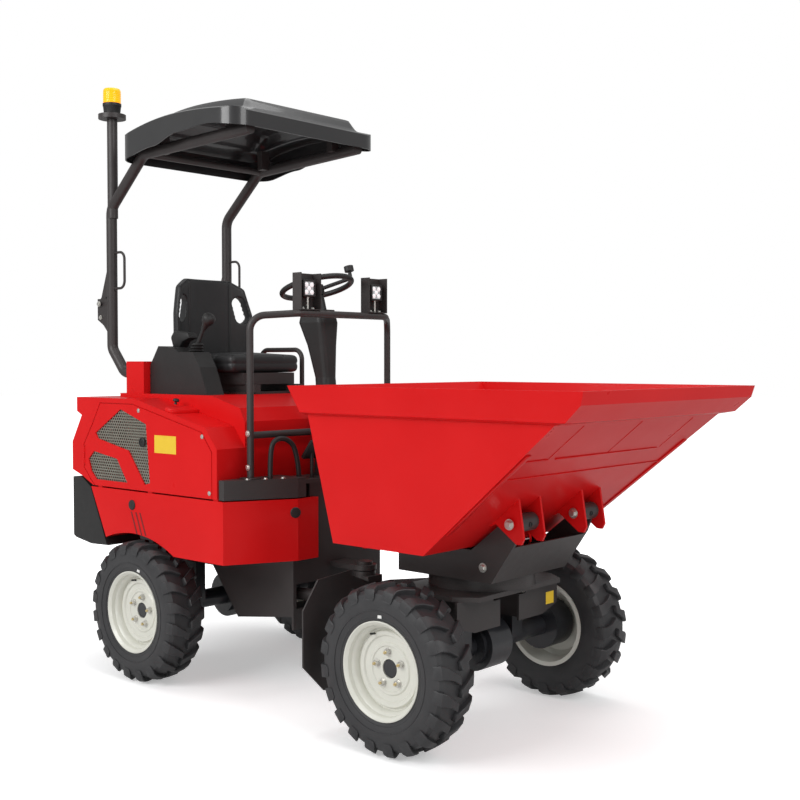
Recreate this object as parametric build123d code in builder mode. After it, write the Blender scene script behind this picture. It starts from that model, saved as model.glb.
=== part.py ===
from build123d import *
from math import atan2, cos, radians, sin
import os

# Site dumper with a centre joint, a swivelling front skip and an operator's seat behind it.
# X points to the front, Y to the left, Z up; the ground is z = 0. All sizes in millimetres.

# ---------------------------------------------------------------- driving sizes
WHEELBASE = 1694
FRONT_AXLE_X = 695
REAR_AXLE_X = FRONT_AXLE_X - WHEELBASE
WHEEL_Y = 588            # centre plane of a wheel from the machine's middle
TYRE_R = 356             # over the lugs
TYRE_W = 216
RIM_R = 206.5
RIM_W = 190
SEAT_GAP = 0.3           # between pieces that rest on one another but are curved or soft

PIVOT_X = -30            # centre joint between rear and front frame
SLEW_X = FRONT_AXLE_X    # middle of the slewing ring
RING_R = 240
RING_H = 30
CHASSIS_TOP = 630        # top of the front chassis plate
TIP_X, TIP_Z = 1085, 957  # tipping pins of the skip
PIN_R = 16

BODY_HALF = 635          # rear body's side panels
FRAME_HALF = 310         # rear black frame
FRAME_FRONT = -210
FRAME_TOP = 700
POD_TOP = 960            # top of the lower body, where the engine cover starts
POD_FRONT = -180
FACET_X = -342            # where the body turns inward towards its nose
NOSE_HALF = 305
PLATFORM_GAP = 6
COVER_GAP = 8
COVER_FRONT = -385
COVER_TOP = 1430
PANEL = 6
STEP_TOP = 1060

COVER_LOW = POD_TOP + COVER_GAP
FRAME_T = 9              # depth of the frame behind a side door
DOOR_GAP = 5
DOOR_LAP = 12
HINGE_X = -1480          # rear edge of a side door
HINGE_R, HINGE_PIN_R = 6, 3

ROPS_Y = 406
ROPS_X = -1545
ROPS_R = 29
ROPS_JOINT_Z = 1972
GUARD_Y = 485
GUARD_X = -318
GUARD_R = 17

EYE_R, EYE_PIN_R, EYE_W = 27, 11, 46     # eyes of both hydraulic cylinders
LUG_IN, LUG_OUT = EYE_W / 2 + 3, EYE_W / 2 + 17   # the plates on both sides of an eye
PIN_HEAD = 8
STEER_Z = 480
STEER_BASE = (-330, -230, STEER_Z)
STEER_END = (PIVOT_X + 180, -150, STEER_Z)

SIDES = (-1, 1)          # right, left
SIDE_NAME = {-1: "right", 1: "left"}


# ---------------------------------------------------------------- shaping helpers
def slab(points, plane, thick, both=False, grow=0, mode=Mode.ADD):
    """A straight-sided plate: its outline on a plane, grown by a gap if asked, pushed out by its thickness."""
    with BuildSketch(plane) as outline:
        with BuildLine():
            Polyline(*points, close=True)
        make_face()
        if grow:
            offset(amount=grow, kind=Kind.INTERSECTION)
    extrude(outline.sketch, amount=thick, both=both, mode=mode)


def block(x, y, z, mode=Mode.ADD):
    """A box given by its low and high value along each axis."""
    with BuildSketch(Plane.XY.offset(z[0])) as outline:
        with Locations(((x[0] + x[1]) / 2, (y[0] + y[1]) / 2)):
            Rectangle(x[1] - x[0], y[1] - y[0])
    extrude(outline.sketch, amount=z[1] - z[0], mode=mode)


def rod(start, end, radius, mode=Mode.ADD):
    """A round bar between two points."""
    start, end = Vector(start), Vector(end)
    with BuildSketch(Plane(origin=start, z_dir=end - start)) as section:
        Circle(radius)
    extrude(section.sketch, amount=(end - start).length, mode=mode)


def tube(points, radius, bend):
    """A bent round tube along straight runs joined by bends."""
    with BuildLine() as path:
        FilletPolyline(*points, radius=bend)
    start = path.line @ 0
    with BuildSketch(Plane(origin=start, z_dir=path.line % 0)) as section:
        Circle(radius)
    sweep(section.sketch, path=path.line)


def steer_lugs(eye, root):
    """The two plates that hold one end of the steering cylinder; root is the y of the wall behind."""
    reach = EYE_R + 3
    for low in (eye[2] - LUG_OUT, eye[2] + LUG_IN):
        rod((eye[0], eye[1], low), (eye[0], eye[1], low + LUG_OUT - LUG_IN), reach)
        block((eye[0] - reach, eye[0] + reach), sorted((eye[1], root)), (low, low + LUG_OUT - LUG_IN))


def save(piece, name):
    piece.part.label = name
    export_step(piece.part, f"parts/{name}.step")


os.makedirs("parts", exist_ok=True)

# ---------------------------------------------------------------- wheels
RIM_WALL = 9
BEAD_R = 195
DISC_OUT = 32            # outer face of the wheel disc from the wheel's middle
DISC_T = 10
HUB_HOLE_R = 39
STUDS = 5
STUD_PCD = 140
STUD_R = 9
WHEELS = (               # name, axle x, side
    ("front_right", FRONT_AXLE_X, -1),
    ("front_left", FRONT_AXLE_X, 1),
    ("rear_right", REAR_AXLE_X, -1),
    ("rear_left", REAR_AXLE_X, 1),
)
for wheel_name, axle_x, side in WHEELS:
    axle = Axis((axle_x, 0, TYRE_R), (0, 1, 0))
    # profile plane: first value along the axle, outward, second the radius
    across = Plane(origin=(axle_x, side * WHEEL_Y, TYRE_R), x_dir=(0, side, 0), z_dir=(side, 0, 0))
    half = RIM_W / 2
    with BuildPart() as rim:
        with BuildSketch(across):
            with BuildLine():
                Polyline(
                    (-half, RIM_R), (-half, BEAD_R - RIM_WALL), (half, BEAD_R - RIM_WALL),
                    (half, RIM_R), (half - 8, RIM_R), (half - 8, BEAD_R),
                    (-half + 8, BEAD_R), (-half + 8, RIM_R), close=True,
                )
            make_face()
            with BuildLine():
                Polyline(
                    (DISC_OUT - DISC_T, HUB_HOLE_R), (DISC_OUT, HUB_HOLE_R), (DISC_OUT, 105),
                    (DISC_OUT + 26, 150), (DISC_OUT + 26, BEAD_R - RIM_WALL + 1),
                    (DISC_OUT + 16, BEAD_R - RIM_WALL + 1), (DISC_OUT + 16, 155),
                    (DISC_OUT - DISC_T, 110), close=True,
                )
            make_face()
        revolve(axis=axle)
        face_plane = Plane(
            origin=(axle_x, side * (WHEEL_Y + DISC_OUT), TYRE_R), x_dir=(1, 0, 0), z_dir=(0, side, 0)
        )
        with BuildSketch(face_plane):
            with PolarLocations(STUD_PCD / 2, STUDS):
                RegularPolygon(STUD_R + 3, 6)
        extrude(amount=16)
    save(rim, f"rim_{wheel_name}")
    with BuildPart() as tyre:
        with BuildSketch(across):
            with BuildLine():
                bead = half - 8 - SEAT_GAP
                side_y = TYRE_W / 2
                tread_half = side_y - 6
                foot = Line((-bead, BEAD_R + SEAT_GAP), (bead, BEAD_R + SEAT_GAP))
                Line((bead, BEAD_R + SEAT_GAP), (bead, RIM_R + 4))
                ThreePointArc((bead, RIM_R + 4), (side_y, RIM_R + 75), (tread_half, TYRE_R - 14))
                Line((tread_half, TYRE_R - 14), (tread_half - 22, TYRE_R))
                Line((tread_half - 22, TYRE_R), (-tread_half + 22, TYRE_R))
                Line((-tread_half + 22, TYRE_R), (-tread_half, TYRE_R - 14))
                ThreePointArc((-tread_half, TYRE_R - 14), (-side_y, RIM_R + 75), (-bead, RIM_R + 4))
                Line((-bead, RIM_R + 4), (-bead, BEAD_R + SEAT_GAP))
            make_face()
        revolve(axis=axle)
    save(tyre, f"tyre_{wheel_name}")

# ---------------------------------------------------------------- axles
AXLE_TUBE_R = 48
DRUM_R = 112
HUB_FACE = WHEEL_Y + DISC_OUT - DISC_T - 0.5
DIFF_R = 118
AXLE_PAD = (150, 230)    # seats of the front axle, from the middle
AXLE_PAD_TOP = 470


def axle_solid(axle_x, nose):
    """Beam axle: tube, round differential with its input nose, brake drums and hub spigots."""
    rod((axle_x, -HUB_FACE + 90, TYRE_R), (axle_x, HUB_FACE - 90, TYRE_R), AXLE_TUBE_R)
    rod((axle_x, -75, TYRE_R), (axle_x, 75, TYRE_R), DIFF_R)
    rod((axle_x, -95, TYRE_R), (axle_x, 95, TYRE_R), DIFF_R - 28)
    rod((axle_x, 0, TYRE_R), (axle_x + nose, 0, TYRE_R), 55)
    for side in SIDES:
        rod((axle_x, side * (HUB_FACE - 170), TYRE_R), (axle_x, side * (HUB_FACE - 30), TYRE_R), DRUM_R)
        rod((axle_x, side * (HUB_FACE - 30), TYRE_R), (axle_x, side * HUB_FACE, TYRE_R), 85)
        rod((axle_x, side * HUB_FACE, TYRE_R), (axle_x, side * (HUB_FACE + 8), TYRE_R), HUB_HOLE_R - 3)


with BuildPart() as front_axle:
    axle_solid(FRONT_AXLE_X, -210)
    for side in SIDES:
        block((FRONT_AXLE_X - 60, FRONT_AXLE_X + 60), sorted((side * AXLE_PAD[0], side * AXLE_PAD[1])),
              (TYRE_R, AXLE_PAD_TOP))
save(front_axle, "front_axle")
with BuildPart() as rear_axle:
    axle_solid(REAR_AXLE_X, 210)
    for side in SIDES:
        block((REAR_AXLE_X - 60, REAR_AXLE_X + 60), (side * 290 - 30, side * 290 + 30), (TYRE_R, 568))
save(rear_axle, "rear_axle")

# ---------------------------------------------------------------- rear frame
PLATE = 12
LUG_T = 25
LUG_R = 60
PIVOT_PIN_R = 25
LUG_LOW, LUG_HIGH = 340, 600     # undersides of the two lugs
SIDE_OUTLINE = (                 # x, z of the frame's side plate
    (-1500, FRAME_TOP), (FRAME_FRONT, FRAME_TOP), (FRAME_FRONT, 385), (-618, 328),
    (-815, 568), (-1200, 568), (-1320, 610), (-1500, 610),
)
with BuildPart() as rear_frame:
    for side in SIDES:
        plane = Plane.XZ.offset(-side * FRAME_HALF)
        slab(SIDE_OUTLINE, plane, side * PLATE)
    block((FRAME_FRONT - PLATE, FRAME_FRONT), (-FRAME_HALF, FRAME_HALF), (320, FRAME_TOP))
    block((-1500, -1500 + PLATE), (-FRAME_HALF, FRAME_HALF), (560, FRAME_TOP))
    block((-1500, FRAME_FRONT), (-FRAME_HALF, FRAME_HALF), (FRAME_TOP - PLATE, FRAME_TOP))
    slab(((-618, 328), (FRAME_FRONT, 385), (FRAME_FRONT, 397), (-618, 340)), Plane.XZ, FRAME_HALF, both=True)
    for low in (LUG_LOW, LUG_HIGH):
        with BuildSketch(Plane.XY.offset(low)):
            with Locations((PIVOT_X, 0)):
                Circle(LUG_R)
            with Locations(((FRAME_FRONT + PIVOT_X) / 2, 0)):
                Rectangle(PIVOT_X - FRAME_FRONT, 2 * LUG_R)
            with Locations((PIVOT_X, 0)):
                Circle(PIVOT_PIN_R, mode=Mode.SUBTRACT)
        extrude(amount=LUG_T)
    block((FRAME_FRONT - PLATE, FRAME_FRONT), (-290, -130), (420, 540), mode=Mode.SUBTRACT)
    steer_lugs(STEER_BASE, -FRAME_HALF + PLATE)
    rod((*STEER_BASE[:2], STEER_Z - LUG_OUT - PIN_HEAD), (*STEER_BASE[:2], STEER_Z + LUG_OUT + PIN_HEAD), EYE_PIN_R)
save(rear_frame, "rear_frame")
with BuildPart() as pivot_pin:
    rod((PIVOT_X, 0, LUG_LOW - 15), (PIVOT_X, 0, LUG_HIGH + LUG_T + 15), PIVOT_PIN_R - SEAT_GAP)
    rod((PIVOT_X, 0, LUG_HIGH + LUG_T), (PIVOT_X, 0, LUG_HIGH + LUG_T + 15), PIVOT_PIN_R + 15)
save(pivot_pin, "pivot_pin")

TOW_X, TOW_PIN_R = -1565, 13
with BuildPart() as tow_jaw:
    for low in (566, 626):
        block((TOW_X, -1500), (-38, 38), (low, low + 14))
        rod((TOW_X, 0, low), (TOW_X, 0, low + 14), 38)
    block((-1512, -1500), (-38, 38), (566, 640))
    rod((TOW_X, 0, 560), (TOW_X, 0, 650), TOW_PIN_R, mode=Mode.SUBTRACT)
save(tow_jaw, "tow_jaw")

# engine: one plain block inside the cover
ENGINE = ((-1420, -900), (-230, 230), (FRAME_TOP, 1180))
with BuildPart() as engine_block:
    block(*ENGINE)
save(engine_block, "engine_block")

# ---------------------------------------------------------------- rear body: lower panels
ARCH_X, ARCH_TOP, ARCH_R = REAR_AXLE_X - 50, 745, 700
POD_PLAN = (                     # x, distance from the middle
    (-1420, BODY_HALF), (FACET_X, BODY_HALF), (POD_FRONT, NOSE_HALF), (POD_FRONT, 170),
    (FRAME_FRONT + 6, 170), (FRAME_FRONT + 6, FRAME_HALF), (-1420, FRAME_HALF),
)
POD_SIDE = (                     # x, z
    (-1418, POD_TOP), (POD_FRONT, POD_TOP), (POD_FRONT, 662), (-640, 662), (-1285, 668), (-1285, 700),
)
for side in SIDES:
    with BuildPart() as pod:
        slab([(x, side * y) for x, y in POD_PLAN], Plane.XY.offset(600), 400)
        slab(POD_SIDE, Plane.XZ, 700, both=True, mode=Mode.INTERSECT)
        rod((ARCH_X, 0, ARCH_TOP - ARCH_R), (ARCH_X, side * 700, ARCH_TOP - ARCH_R), ARCH_R, mode=Mode.SUBTRACT)
        for x in (-1330, -900, COVER_FRONT - PANEL):
            block((x - 30, x + PANEL), sorted((side * (BODY_HALF - PANEL - FRAME_T), side * BODY_HALF - side * PANEL)),
                  (POD_TOP - 5, COVER_LOW))
    save(pod, f"lower_body_{SIDE_NAME[side]}")

BUMPER_REAR = -1640
BUMPER_SIDE = (                  # x, z
    (BUMPER_REAR, 975), (-1600, 1000), (-1512, 1010), (-1420, 955), (-1290, 698),
    (-1250, 662), (-1420, 655), (-1560, 675), (BUMPER_REAR, 715),
)
with BuildPart() as rear_bumper:
    slab(BUMPER_SIDE, Plane.XZ, 700, both=True)
    slab(
        ((BUMPER_REAR, -585), (BUMPER_REAR, 585), (-1585, BODY_HALF), (-1200, BODY_HALF),
         (-1200, 420), (-1500, 420), (-1500, -420), (-1200, -420), (-1200, -BODY_HALF),
         (-1585, -BODY_HALF)),
        Plane.XY.offset(600), 500, mode=Mode.INTERSECT,
    )
    slab(((-1425, POD_TOP), (-1283, 668), (-1100, 600), (-1100, 1100)), Plane.XZ, 700, both=True,
         mode=Mode.SUBTRACT)
save(rear_bumper, "rear_bumper")

# ---------------------------------------------------------------- rear body: engine cover and side doors
COVER_PROFILE = (                # x, z of the closed cover
    (-1500, COVER_LOW + 44), (-1590, 1040), (-1590, 1190), (-1500, 1335), (-1545, 1355),
    (-1545, COVER_TOP), (-1030, COVER_TOP), (-470, 1305), (COVER_FRONT, 1205), (COVER_FRONT, COVER_LOW),
    (-1400, COVER_LOW),
)
COVER_INSIDE = (                 # x, z of the hollow under the cover
    (-1480, 1030), (-1565, 1050), (-1565, 1185), (-1475, 1330), (-1520, 1360), (-1520, COVER_TOP - PANEL),
    (-1032, COVER_TOP - PANEL), (-474, 1299), (COVER_FRONT - PANEL, 1203), (COVER_FRONT - PANEL, 900),
    (-1400, 900),
)
DECK_HALF = 460
DECK_PROFILE = (                 # x, z of the raised deck that carries the seat
    (-1400, COVER_TOP - PANEL), (-1400, 1450), (-640, 1450), (-425, 1395), (COVER_FRONT, 1330),
    (COVER_FRONT, 1200), (-470, 1299), (-1032, COVER_TOP - PANEL),
)
DOOR_OUTLINE = (                 # x, z of a side door
    (-1420, 1000), (HINGE_X, 1060), (HINGE_X, 1180), (-1400, 1290), (-1330, 1400), (-1045, 1400),
    (-500, 1280), (-425, 1190), (-425, COVER_LOW), (-1380, COVER_LOW),
)
GRILLE_UPPER = (
    (-1150, 1375), (-935, 1305), (-905, 1010), (-950, 1000), (-1085, 1165), (-1350, 1215), (-1375, 1245),
)
GRILLE_LOWER = ((-1440, 1105), (-1390, 1148), (-1185, 1118), (-1095, 1000), (-1370, 1000), (-1415, 1040))


HINGE_KNUCKLES = ((1076, 1104), (1136, 1164))    # low and high end of the door's knuckles
HINGE_PLAY = 1
HINGE_PIN = (1068, 1172)


def hinge_tabs(side):
    """The cover's half of a door hinge: the pin, and the short knuckles above, between and below the door's."""
    y = side * BODY_HALF
    rod((HINGE_X, y, HINGE_PIN[0]), (HINGE_X, y, HINGE_PIN[1]), HINGE_PIN_R)
    edges = [HINGE_PIN[0], *(z + way * HINGE_PLAY for pair in HINGE_KNUCKLES for z, way in zip(pair, (-1, 1))),
             HINGE_PIN[1]]
    for low, high in zip(edges[::2], edges[1::2]):
        rod((HINGE_X, y, low), (HINGE_X, y, high), HINGE_R - 1)
        block((HINGE_X - DOOR_GAP - 1, HINGE_X), sorted((y, y - side * 4)), (low, high))


with BuildPart() as engine_cover:
    slab(COVER_PROFILE, Plane.XZ, BODY_HALF, both=True)
    slab(DECK_PROFILE, Plane.XZ, DECK_HALF, both=True)
    slab(COVER_INSIDE, Plane.XZ, BODY_HALF - PANEL, both=True, mode=Mode.SUBTRACT)
    for side in SIDES:
        behind = Plane.XZ.offset(-side * (BODY_HALF - PANEL - FRAME_T))
        slab(DOOR_OUTLINE, behind, -side * FRAME_T, grow=DOOR_LAP)
        slab(DOOR_OUTLINE, behind, -side * FRAME_T, grow=-DOOR_LAP, mode=Mode.SUBTRACT)
        slab(DOOR_OUTLINE, Plane.XZ.offset(-side * (BODY_HALF - PANEL - SEAT_GAP)), -side * 40, grow=DOOR_GAP,
             mode=Mode.SUBTRACT)
        for low, high in HINGE_KNUCKLES:
            rod((HINGE_X, side * BODY_HALF, low - HINGE_PLAY), (HINGE_X, side * BODY_HALF, high + HINGE_PLAY),
                HINGE_R + HINGE_PLAY, mode=Mode.SUBTRACT)
        hinge_tabs(side)
    block((-1500, COVER_FRONT - PANEL), (-BODY_HALF, BODY_HALF), (COVER_LOW - 40, COVER_LOW), mode=Mode.SUBTRACT)
save(engine_cover, "engine_cover")

GRILLE_T = 3
for side in SIDES:
    skin = Plane.XZ.offset(-side * (BODY_HALF - PANEL))
    with BuildPart() as door:
        slab(DOOR_OUTLINE, skin, -side * PANEL)
        for outline in (GRILLE_UPPER, GRILLE_LOWER):
            slab(outline, skin, -side * PANEL, mode=Mode.SUBTRACT)
        block((HINGE_X - 1, HINGE_X + HINGE_R + 2), sorted((side * BODY_HALF, side * (BODY_HALF - PANEL))),
              (HINGE_PIN[0] - 2, HINGE_PIN[1] + 2), mode=Mode.SUBTRACT)
        for low, high in HINGE_KNUCKLES:
            rod((HINGE_X, side * BODY_HALF, low), (HINGE_X, side * BODY_HALF, high), HINGE_R)
            block((HINGE_X, HINGE_X + HINGE_R + 3), sorted((side * BODY_HALF, side * (BODY_HALF - 4))), (low, high))
            rod((HINGE_X, side * BODY_HALF, low - 1), (HINGE_X, side * BODY_HALF, high + 1),
                HINGE_PIN_R + SEAT_GAP, mode=Mode.SUBTRACT)
    save(door, f"side_door_{SIDE_NAME[side]}")
    with BuildPart() as grille:
        for outline in (GRILLE_UPPER, GRILLE_LOWER):
            slab(outline, Plane.XZ.offset(-side * (BODY_HALF - PANEL - GRILLE_T)), -side * GRILLE_T, grow=6)
    save(grille, f"grille_{SIDE_NAME[side]}")

# ---------------------------------------------------------------- operator's floor and steps
STEP_LOW = POD_TOP + PLATFORM_GAP
with BuildPart() as floor_plate:
    for side in SIDES:
        slab([(-378, side * 250), (-378, side * (BODY_HALF - 6)), (FACET_X, side * (BODY_HALF - 6)),
              (POD_FRONT - 2, side * (NOSE_HALF - 4)), (POD_FRONT - 2, side * 250)],
             Plane.XY.offset(STEP_LOW), STEP_TOP - STEP_LOW)
    block((-378, POD_FRONT - 2), (-250, 250), (STEP_TOP - 30, STEP_TOP - 12))
    block((-378, FRAME_FRONT), (-200, 200), (FRAME_TOP, STEP_TOP - 30))
save(floor_plate, "floor_plate")

with BuildPart() as pedals:
    for y, lean in ((-150, 0), (150, 0)):
        slab([(-275, 1150), (-210, 1235), (-198, 1228), (-260, 1140)], Plane.XZ.offset(-y), 45, both=True)
        rod((-245, y, STEP_TOP - 12), (-245, y, 1180), 9)
save(pedals, "pedals")

# ---------------------------------------------------------------- guard rail with its work lamps
BAR_X, BAR_Y, BAR_Z = -170, 305, 1850
RAIL_Z = 1268
with BuildPart() as guard_rail:
    tube(
        [(GUARD_X, -GUARD_Y, STEP_TOP), (GUARD_X, -GUARD_Y, BAR_Z - 15), (BAR_X, -BAR_Y, BAR_Z),
         (BAR_X, BAR_Y, BAR_Z), (GUARD_X, GUARD_Y, BAR_Z - 15), (GUARD_X, GUARD_Y, STEP_TOP)],
        GUARD_R, 75,
    )
    rod((GUARD_X, -GUARD_Y, RAIL_Z), (GUARD_X, GUARD_Y, RAIL_Z), GUARD_R)
save(guard_rail, "guard_rail")

LAMP = 82
BRACKET_X = (BAR_X - 45, BAR_X + 15)
BRACKET_Y = (171, 305)
BRACKET_Z = (BAR_Z + GUARD_R, BAR_Z + GUARD_R + 178)
with BuildPart() as lamp_brackets:
    for side in SIDES:
        y = sorted(side * v for v in BRACKET_Y)
        block(BRACKET_X, y, BRACKET_Z)
        block((BRACKET_X[0] + 4, BRACKET_X[1] + 1), (y[0] + 4, y[1] - 4), (BRACKET_Z[0] + 4, BRACKET_Z[1] + 1),
              mode=Mode.SUBTRACT)
save(lamp_brackets, "lamp_brackets")
with BuildPart() as work_lamps:
    for side in SIDES:
        y = side * sum(BRACKET_Y) / 2
        z = BRACKET_Z[0] + 104
        block((BRACKET_X[0] + 12, BRACKET_X[1] - 4), (y - LAMP / 2, y + LAMP / 2), (z - LAMP / 2, z + LAMP / 2))
        rod((BAR_X - 12, y, BRACKET_Z[0] + 4), (BAR_X - 12, y, z - LAMP / 2), 7)
save(work_lamps, "work_lamps")

# ---------------------------------------------------------------- steering
WHEEL_AT = Vector(-360, 0, 1995)
WHEEL_TILT = 16
STEER_R = 178
STEER_GRIP = 14
steer_plane = Plane(origin=WHEEL_AT, x_dir=(cos(radians(WHEEL_TILT)), 0, sin(radians(WHEEL_TILT))),
                    z_dir=(-sin(radians(WHEEL_TILT)), 0, cos(radians(WHEEL_TILT))))
COLUMN_SECTIONS = (              # z, x of the middle, length along x, width
    (STEP_TOP - 12, -262, 150, 130), (1300, -275, 100, 90), (1540, -300, 95, 85),
    (1700, -325, 130, 110), (1815, -350, 175, 135), (1880, -352, 150, 120),
)
with BuildPart() as steering_column:
    for z, x, length, width in COLUMN_SECTIONS:
        with BuildSketch(Plane.XY.offset(z)):
            with Locations((x, 0)):
                RectangleRounded(length, width, 30)
    loft(ruled=True)
    rod(steer_plane.from_local_coords((0, 0, -125)), steer_plane.from_local_coords((0, 0, -45)), 26)
    rod((GUARD_X, -200, RAIL_Z), (GUARD_X, 200, RAIL_Z), GUARD_R + SEAT_GAP, mode=Mode.SUBTRACT)
save(steering_column, "steering_column")
with BuildPart() as steering_wheel:
    with BuildSketch(Plane(origin=steer_plane.from_local_coords((STEER_R, 0, 0)), x_dir=steer_plane.x_dir,
                           z_dir=(0, 1, 0))):
        Circle(STEER_GRIP)
    revolve(axis=Axis(WHEEL_AT, steer_plane.z_dir))
    rod(steer_plane.from_local_coords((0, 0, -44)), steer_plane.from_local_coords((0, 0, 6)), 34)
    for angle in (30, 150, 270):
        tip = steer_plane.from_local_coords((STEER_R * cos(radians(angle)), STEER_R * sin(radians(angle)), 0))
        rod(steer_plane.from_local_coords((0, 0, -15)), tip, 10)
    knob_at = (STEER_R * cos(radians(40)), STEER_R * sin(radians(40)))
    rod(steer_plane.from_local_coords((*knob_at, 0)), steer_plane.from_local_coords((*knob_at, 55)), 9)
    rod(steer_plane.from_local_coords((*knob_at, 45)), steer_plane.from_local_coords((*knob_at, 72)), 24)
save(steering_wheel, "steering_wheel")

# ---------------------------------------------------------------- seat and controls
DECK_TOP = 1450
SEAT_PAN = DECK_TOP + 110
with BuildPart() as seat_base:
    block((-1150, -690), (-190, 190), (DECK_TOP, DECK_TOP + 12))
    for side in SIDES:
        block((-1160, -640), (side * 150 - 18, side * 150 + 18), (DECK_TOP + 12, DECK_TOP + 50))
    block((-1260, -720), (-180, 180), (DECK_TOP + 50, SEAT_PAN))
save(seat_base, "seat_base")
SEAT_HALF = 240
CUSHION_LOW, CUSHION_TOP = SEAT_PAN + SEAT_GAP, 1672
with BuildPart() as seat_cushion:
    with BuildSketch(Plane.XY.offset(CUSHION_LOW)):
        with Locations((-945, 0)):
            RectangleRounded(450, 2 * SEAT_HALF, 80)
    extrude(amount=CUSHION_TOP - CUSHION_LOW)
    fillet(seat_cushion.faces().sort_by(Axis.Z)[-1].edges(), 35)
save(seat_cushion, "seat_cushion")
BACK_TOP = 2080
BACK_PLAN = (                    # x, y of the shell seen from above
    (-1290, 0), (-1280, 160), (-1225, 250), (-1160, 262), (-1180, 235), (-1225, 150), (-1235, 0),
)
with BuildPart() as seat_back:
    plan = [(x, y) for x, y in BACK_PLAN] + [(x, -y) for x, y in BACK_PLAN[-2:0:-1]]
    slab(plan, Plane.XY.offset(CUSHION_LOW), BACK_TOP - CUSHION_LOW)
    slab([(-200, CUSHION_LOW), (-270, 1680), (-270, 1900), (-225, 2040), (-120, BACK_TOP), (120, BACK_TOP),
          (225, 2040), (270, 1900), (270, 1680), (200, CUSHION_LOW)], Plane.YZ.offset(-1400), 400, mode=Mode.INTERSECT)
save(seat_back, "seat_back")

BOOT_LOW = 1668
CONSOLE_SIDE = (
    (-1200, DECK_TOP), (-1200, 1600), (-1130, 1700), (-1000, 1690), (-965, BOOT_LOW), (-845, BOOT_LOW),
    (-790, 1590), (-730, DECK_TOP),
)
with BuildPart() as console:
    slab(CONSOLE_SIDE, Plane.XZ.offset(300), 110)
save(console, "console")
with BuildPart() as joystick:
    with BuildSketch(Plane.XY.offset(BOOT_LOW + SEAT_GAP)):
        with Locations((-905, -355)):
            Circle(48)
    with BuildSketch(Plane.XY.offset(1725)):
        with Locations((-875, -355)):
            Circle(26)
    loft()
    rod((-875, -355, 1720), (-800, -355, 1800), 12)
    rod((-805, -355, 1795), (-745, -355, 1870), 25)
save(joystick, "joystick")
with BuildPart() as hip_bar:
    tube([(-1120, 300, DECK_TOP), (-1120, 300, 1684), (-785, 300, 1684), (-785, 300, DECK_TOP)], 13, 55)
save(hip_bar, "hip_bar")

# ---------------------------------------------------------------- roll-over bar, canopy and beacon
HOUSING = ((-1358, -1205), (363, 449), (DECK_TOP, 1620))
FOLD_X, FOLD_Z = -1633, 1937
ROPS_SPLIT = 0.5
CHEEK_T = 8
with BuildPart() as rops_housings:
    for side in SIDES:
        block(HOUSING[0], sorted(side * v for v in HOUSING[1]), HOUSING[2])
save(rops_housings, "rops_housings")
with BuildPart() as rops_lower:
    for side in SIDES:
        y = side * ROPS_Y
        tube([(HOUSING[0][0], y, 1560), (-1430, y, 1560), (ROPS_X, y, 1690), (ROPS_X, y, ROPS_JOINT_Z)], ROPS_R, 60)
        for shift in (-1, 1):
            slab([(ROPS_X - 10, 1765), (-1612, 1820), (-1665, 1850), (-1665, 1965), (ROPS_X - 10, 1965)],
                 Plane.XZ.offset(-(y + shift * (5.5 + CHEEK_T / 2))), CHEEK_T / 2, both=True)
        rod((FOLD_X, y - 26, FOLD_Z), (FOLD_X, y + 26, FOLD_Z), 11)
save(rops_lower, "rops_lower")
POST_TOP = (-1250, 2716)
POLE_X = ROPS_X + 12
CANOPY_LENGTH, CANOPY_WIDTH = 952, 1020
CANOPY_TILT = 3.9
DECK_RISE = 106          # from the canopy's lower edge to its ceiling
SKIN = 7
canopy_plane = Plane(origin=(-870, 0, 2732), x_dir=(cos(radians(CANOPY_TILT)), 0, sin(radians(CANOPY_TILT))),
                     z_dir=(-sin(radians(CANOPY_TILT)), 0, cos(radians(CANOPY_TILT))))
with BuildPart() as rops_upper:
    for side in SIDES:
        y = side * ROPS_Y
        tube([(ROPS_X, y, ROPS_JOINT_Z + ROPS_SPLIT), (ROPS_X, y, 2455), (POST_TOP[0], y, POST_TOP[1]),
              (-430, y * 0.93, 2752)], ROPS_R, 90)
        slab([(ROPS_X - 10, 2205), (-1640, 1975), (-1655, FOLD_Z + 20), (-1655, FOLD_Z - 25), (-1600, FOLD_Z - 25),
              (-1600, 1973), (ROPS_X - 10, 1973)], Plane.XZ.offset(-y), 5, both=True)
        rod((FOLD_X, y - 10, FOLD_Z), (FOLD_X, y + 10, FOLD_Z), 11.5, mode=Mode.SUBTRACT)
        tube([(ROPS_X, y, 2213), (-1430, y, 2213), (-1430, y, 2018), (ROPS_X, y, 2018)], 7, 40)
    rod((POST_TOP[0] + 20, -ROPS_Y, POST_TOP[1]), (POST_TOP[0] + 20, ROPS_Y, POST_TOP[1]), 20)
    with BuildSketch(canopy_plane) as posts:
        with GridLocations(560, 704, 2, 2):
            Rectangle(40, 56)
    extrude(posts.sketch, amount=DECK_RISE - SEAT_GAP)
    rod((POLE_X, -ROPS_Y, 2400), (POLE_X, -ROPS_Y, 2938), ROPS_R - 1)
    rod((POLE_X, -ROPS_Y, 2938), (POLE_X, -ROPS_Y, 2962), 74)
save(rops_upper, "rops_upper")
with BuildPart() as beacon:
    rod((POLE_X, -ROPS_Y, 2962), (POLE_X, -ROPS_Y, 3022), 49)
    rod((POLE_X, -ROPS_Y, 3022), (POLE_X, -ROPS_Y, 3105), 46)
save(beacon, "beacon")
CANOPY_OUTSIDE = (               # height, how far in from the edge
    (0, 0), (52, 5), (60, 22), (66, 100), (DECK_RISE + SKIN, 122),
)
CANOPY_INSIDE = ((-1, SKIN), (46, SKIN + 5), (53, 28), (60, 102), (DECK_RISE, 126))
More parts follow.
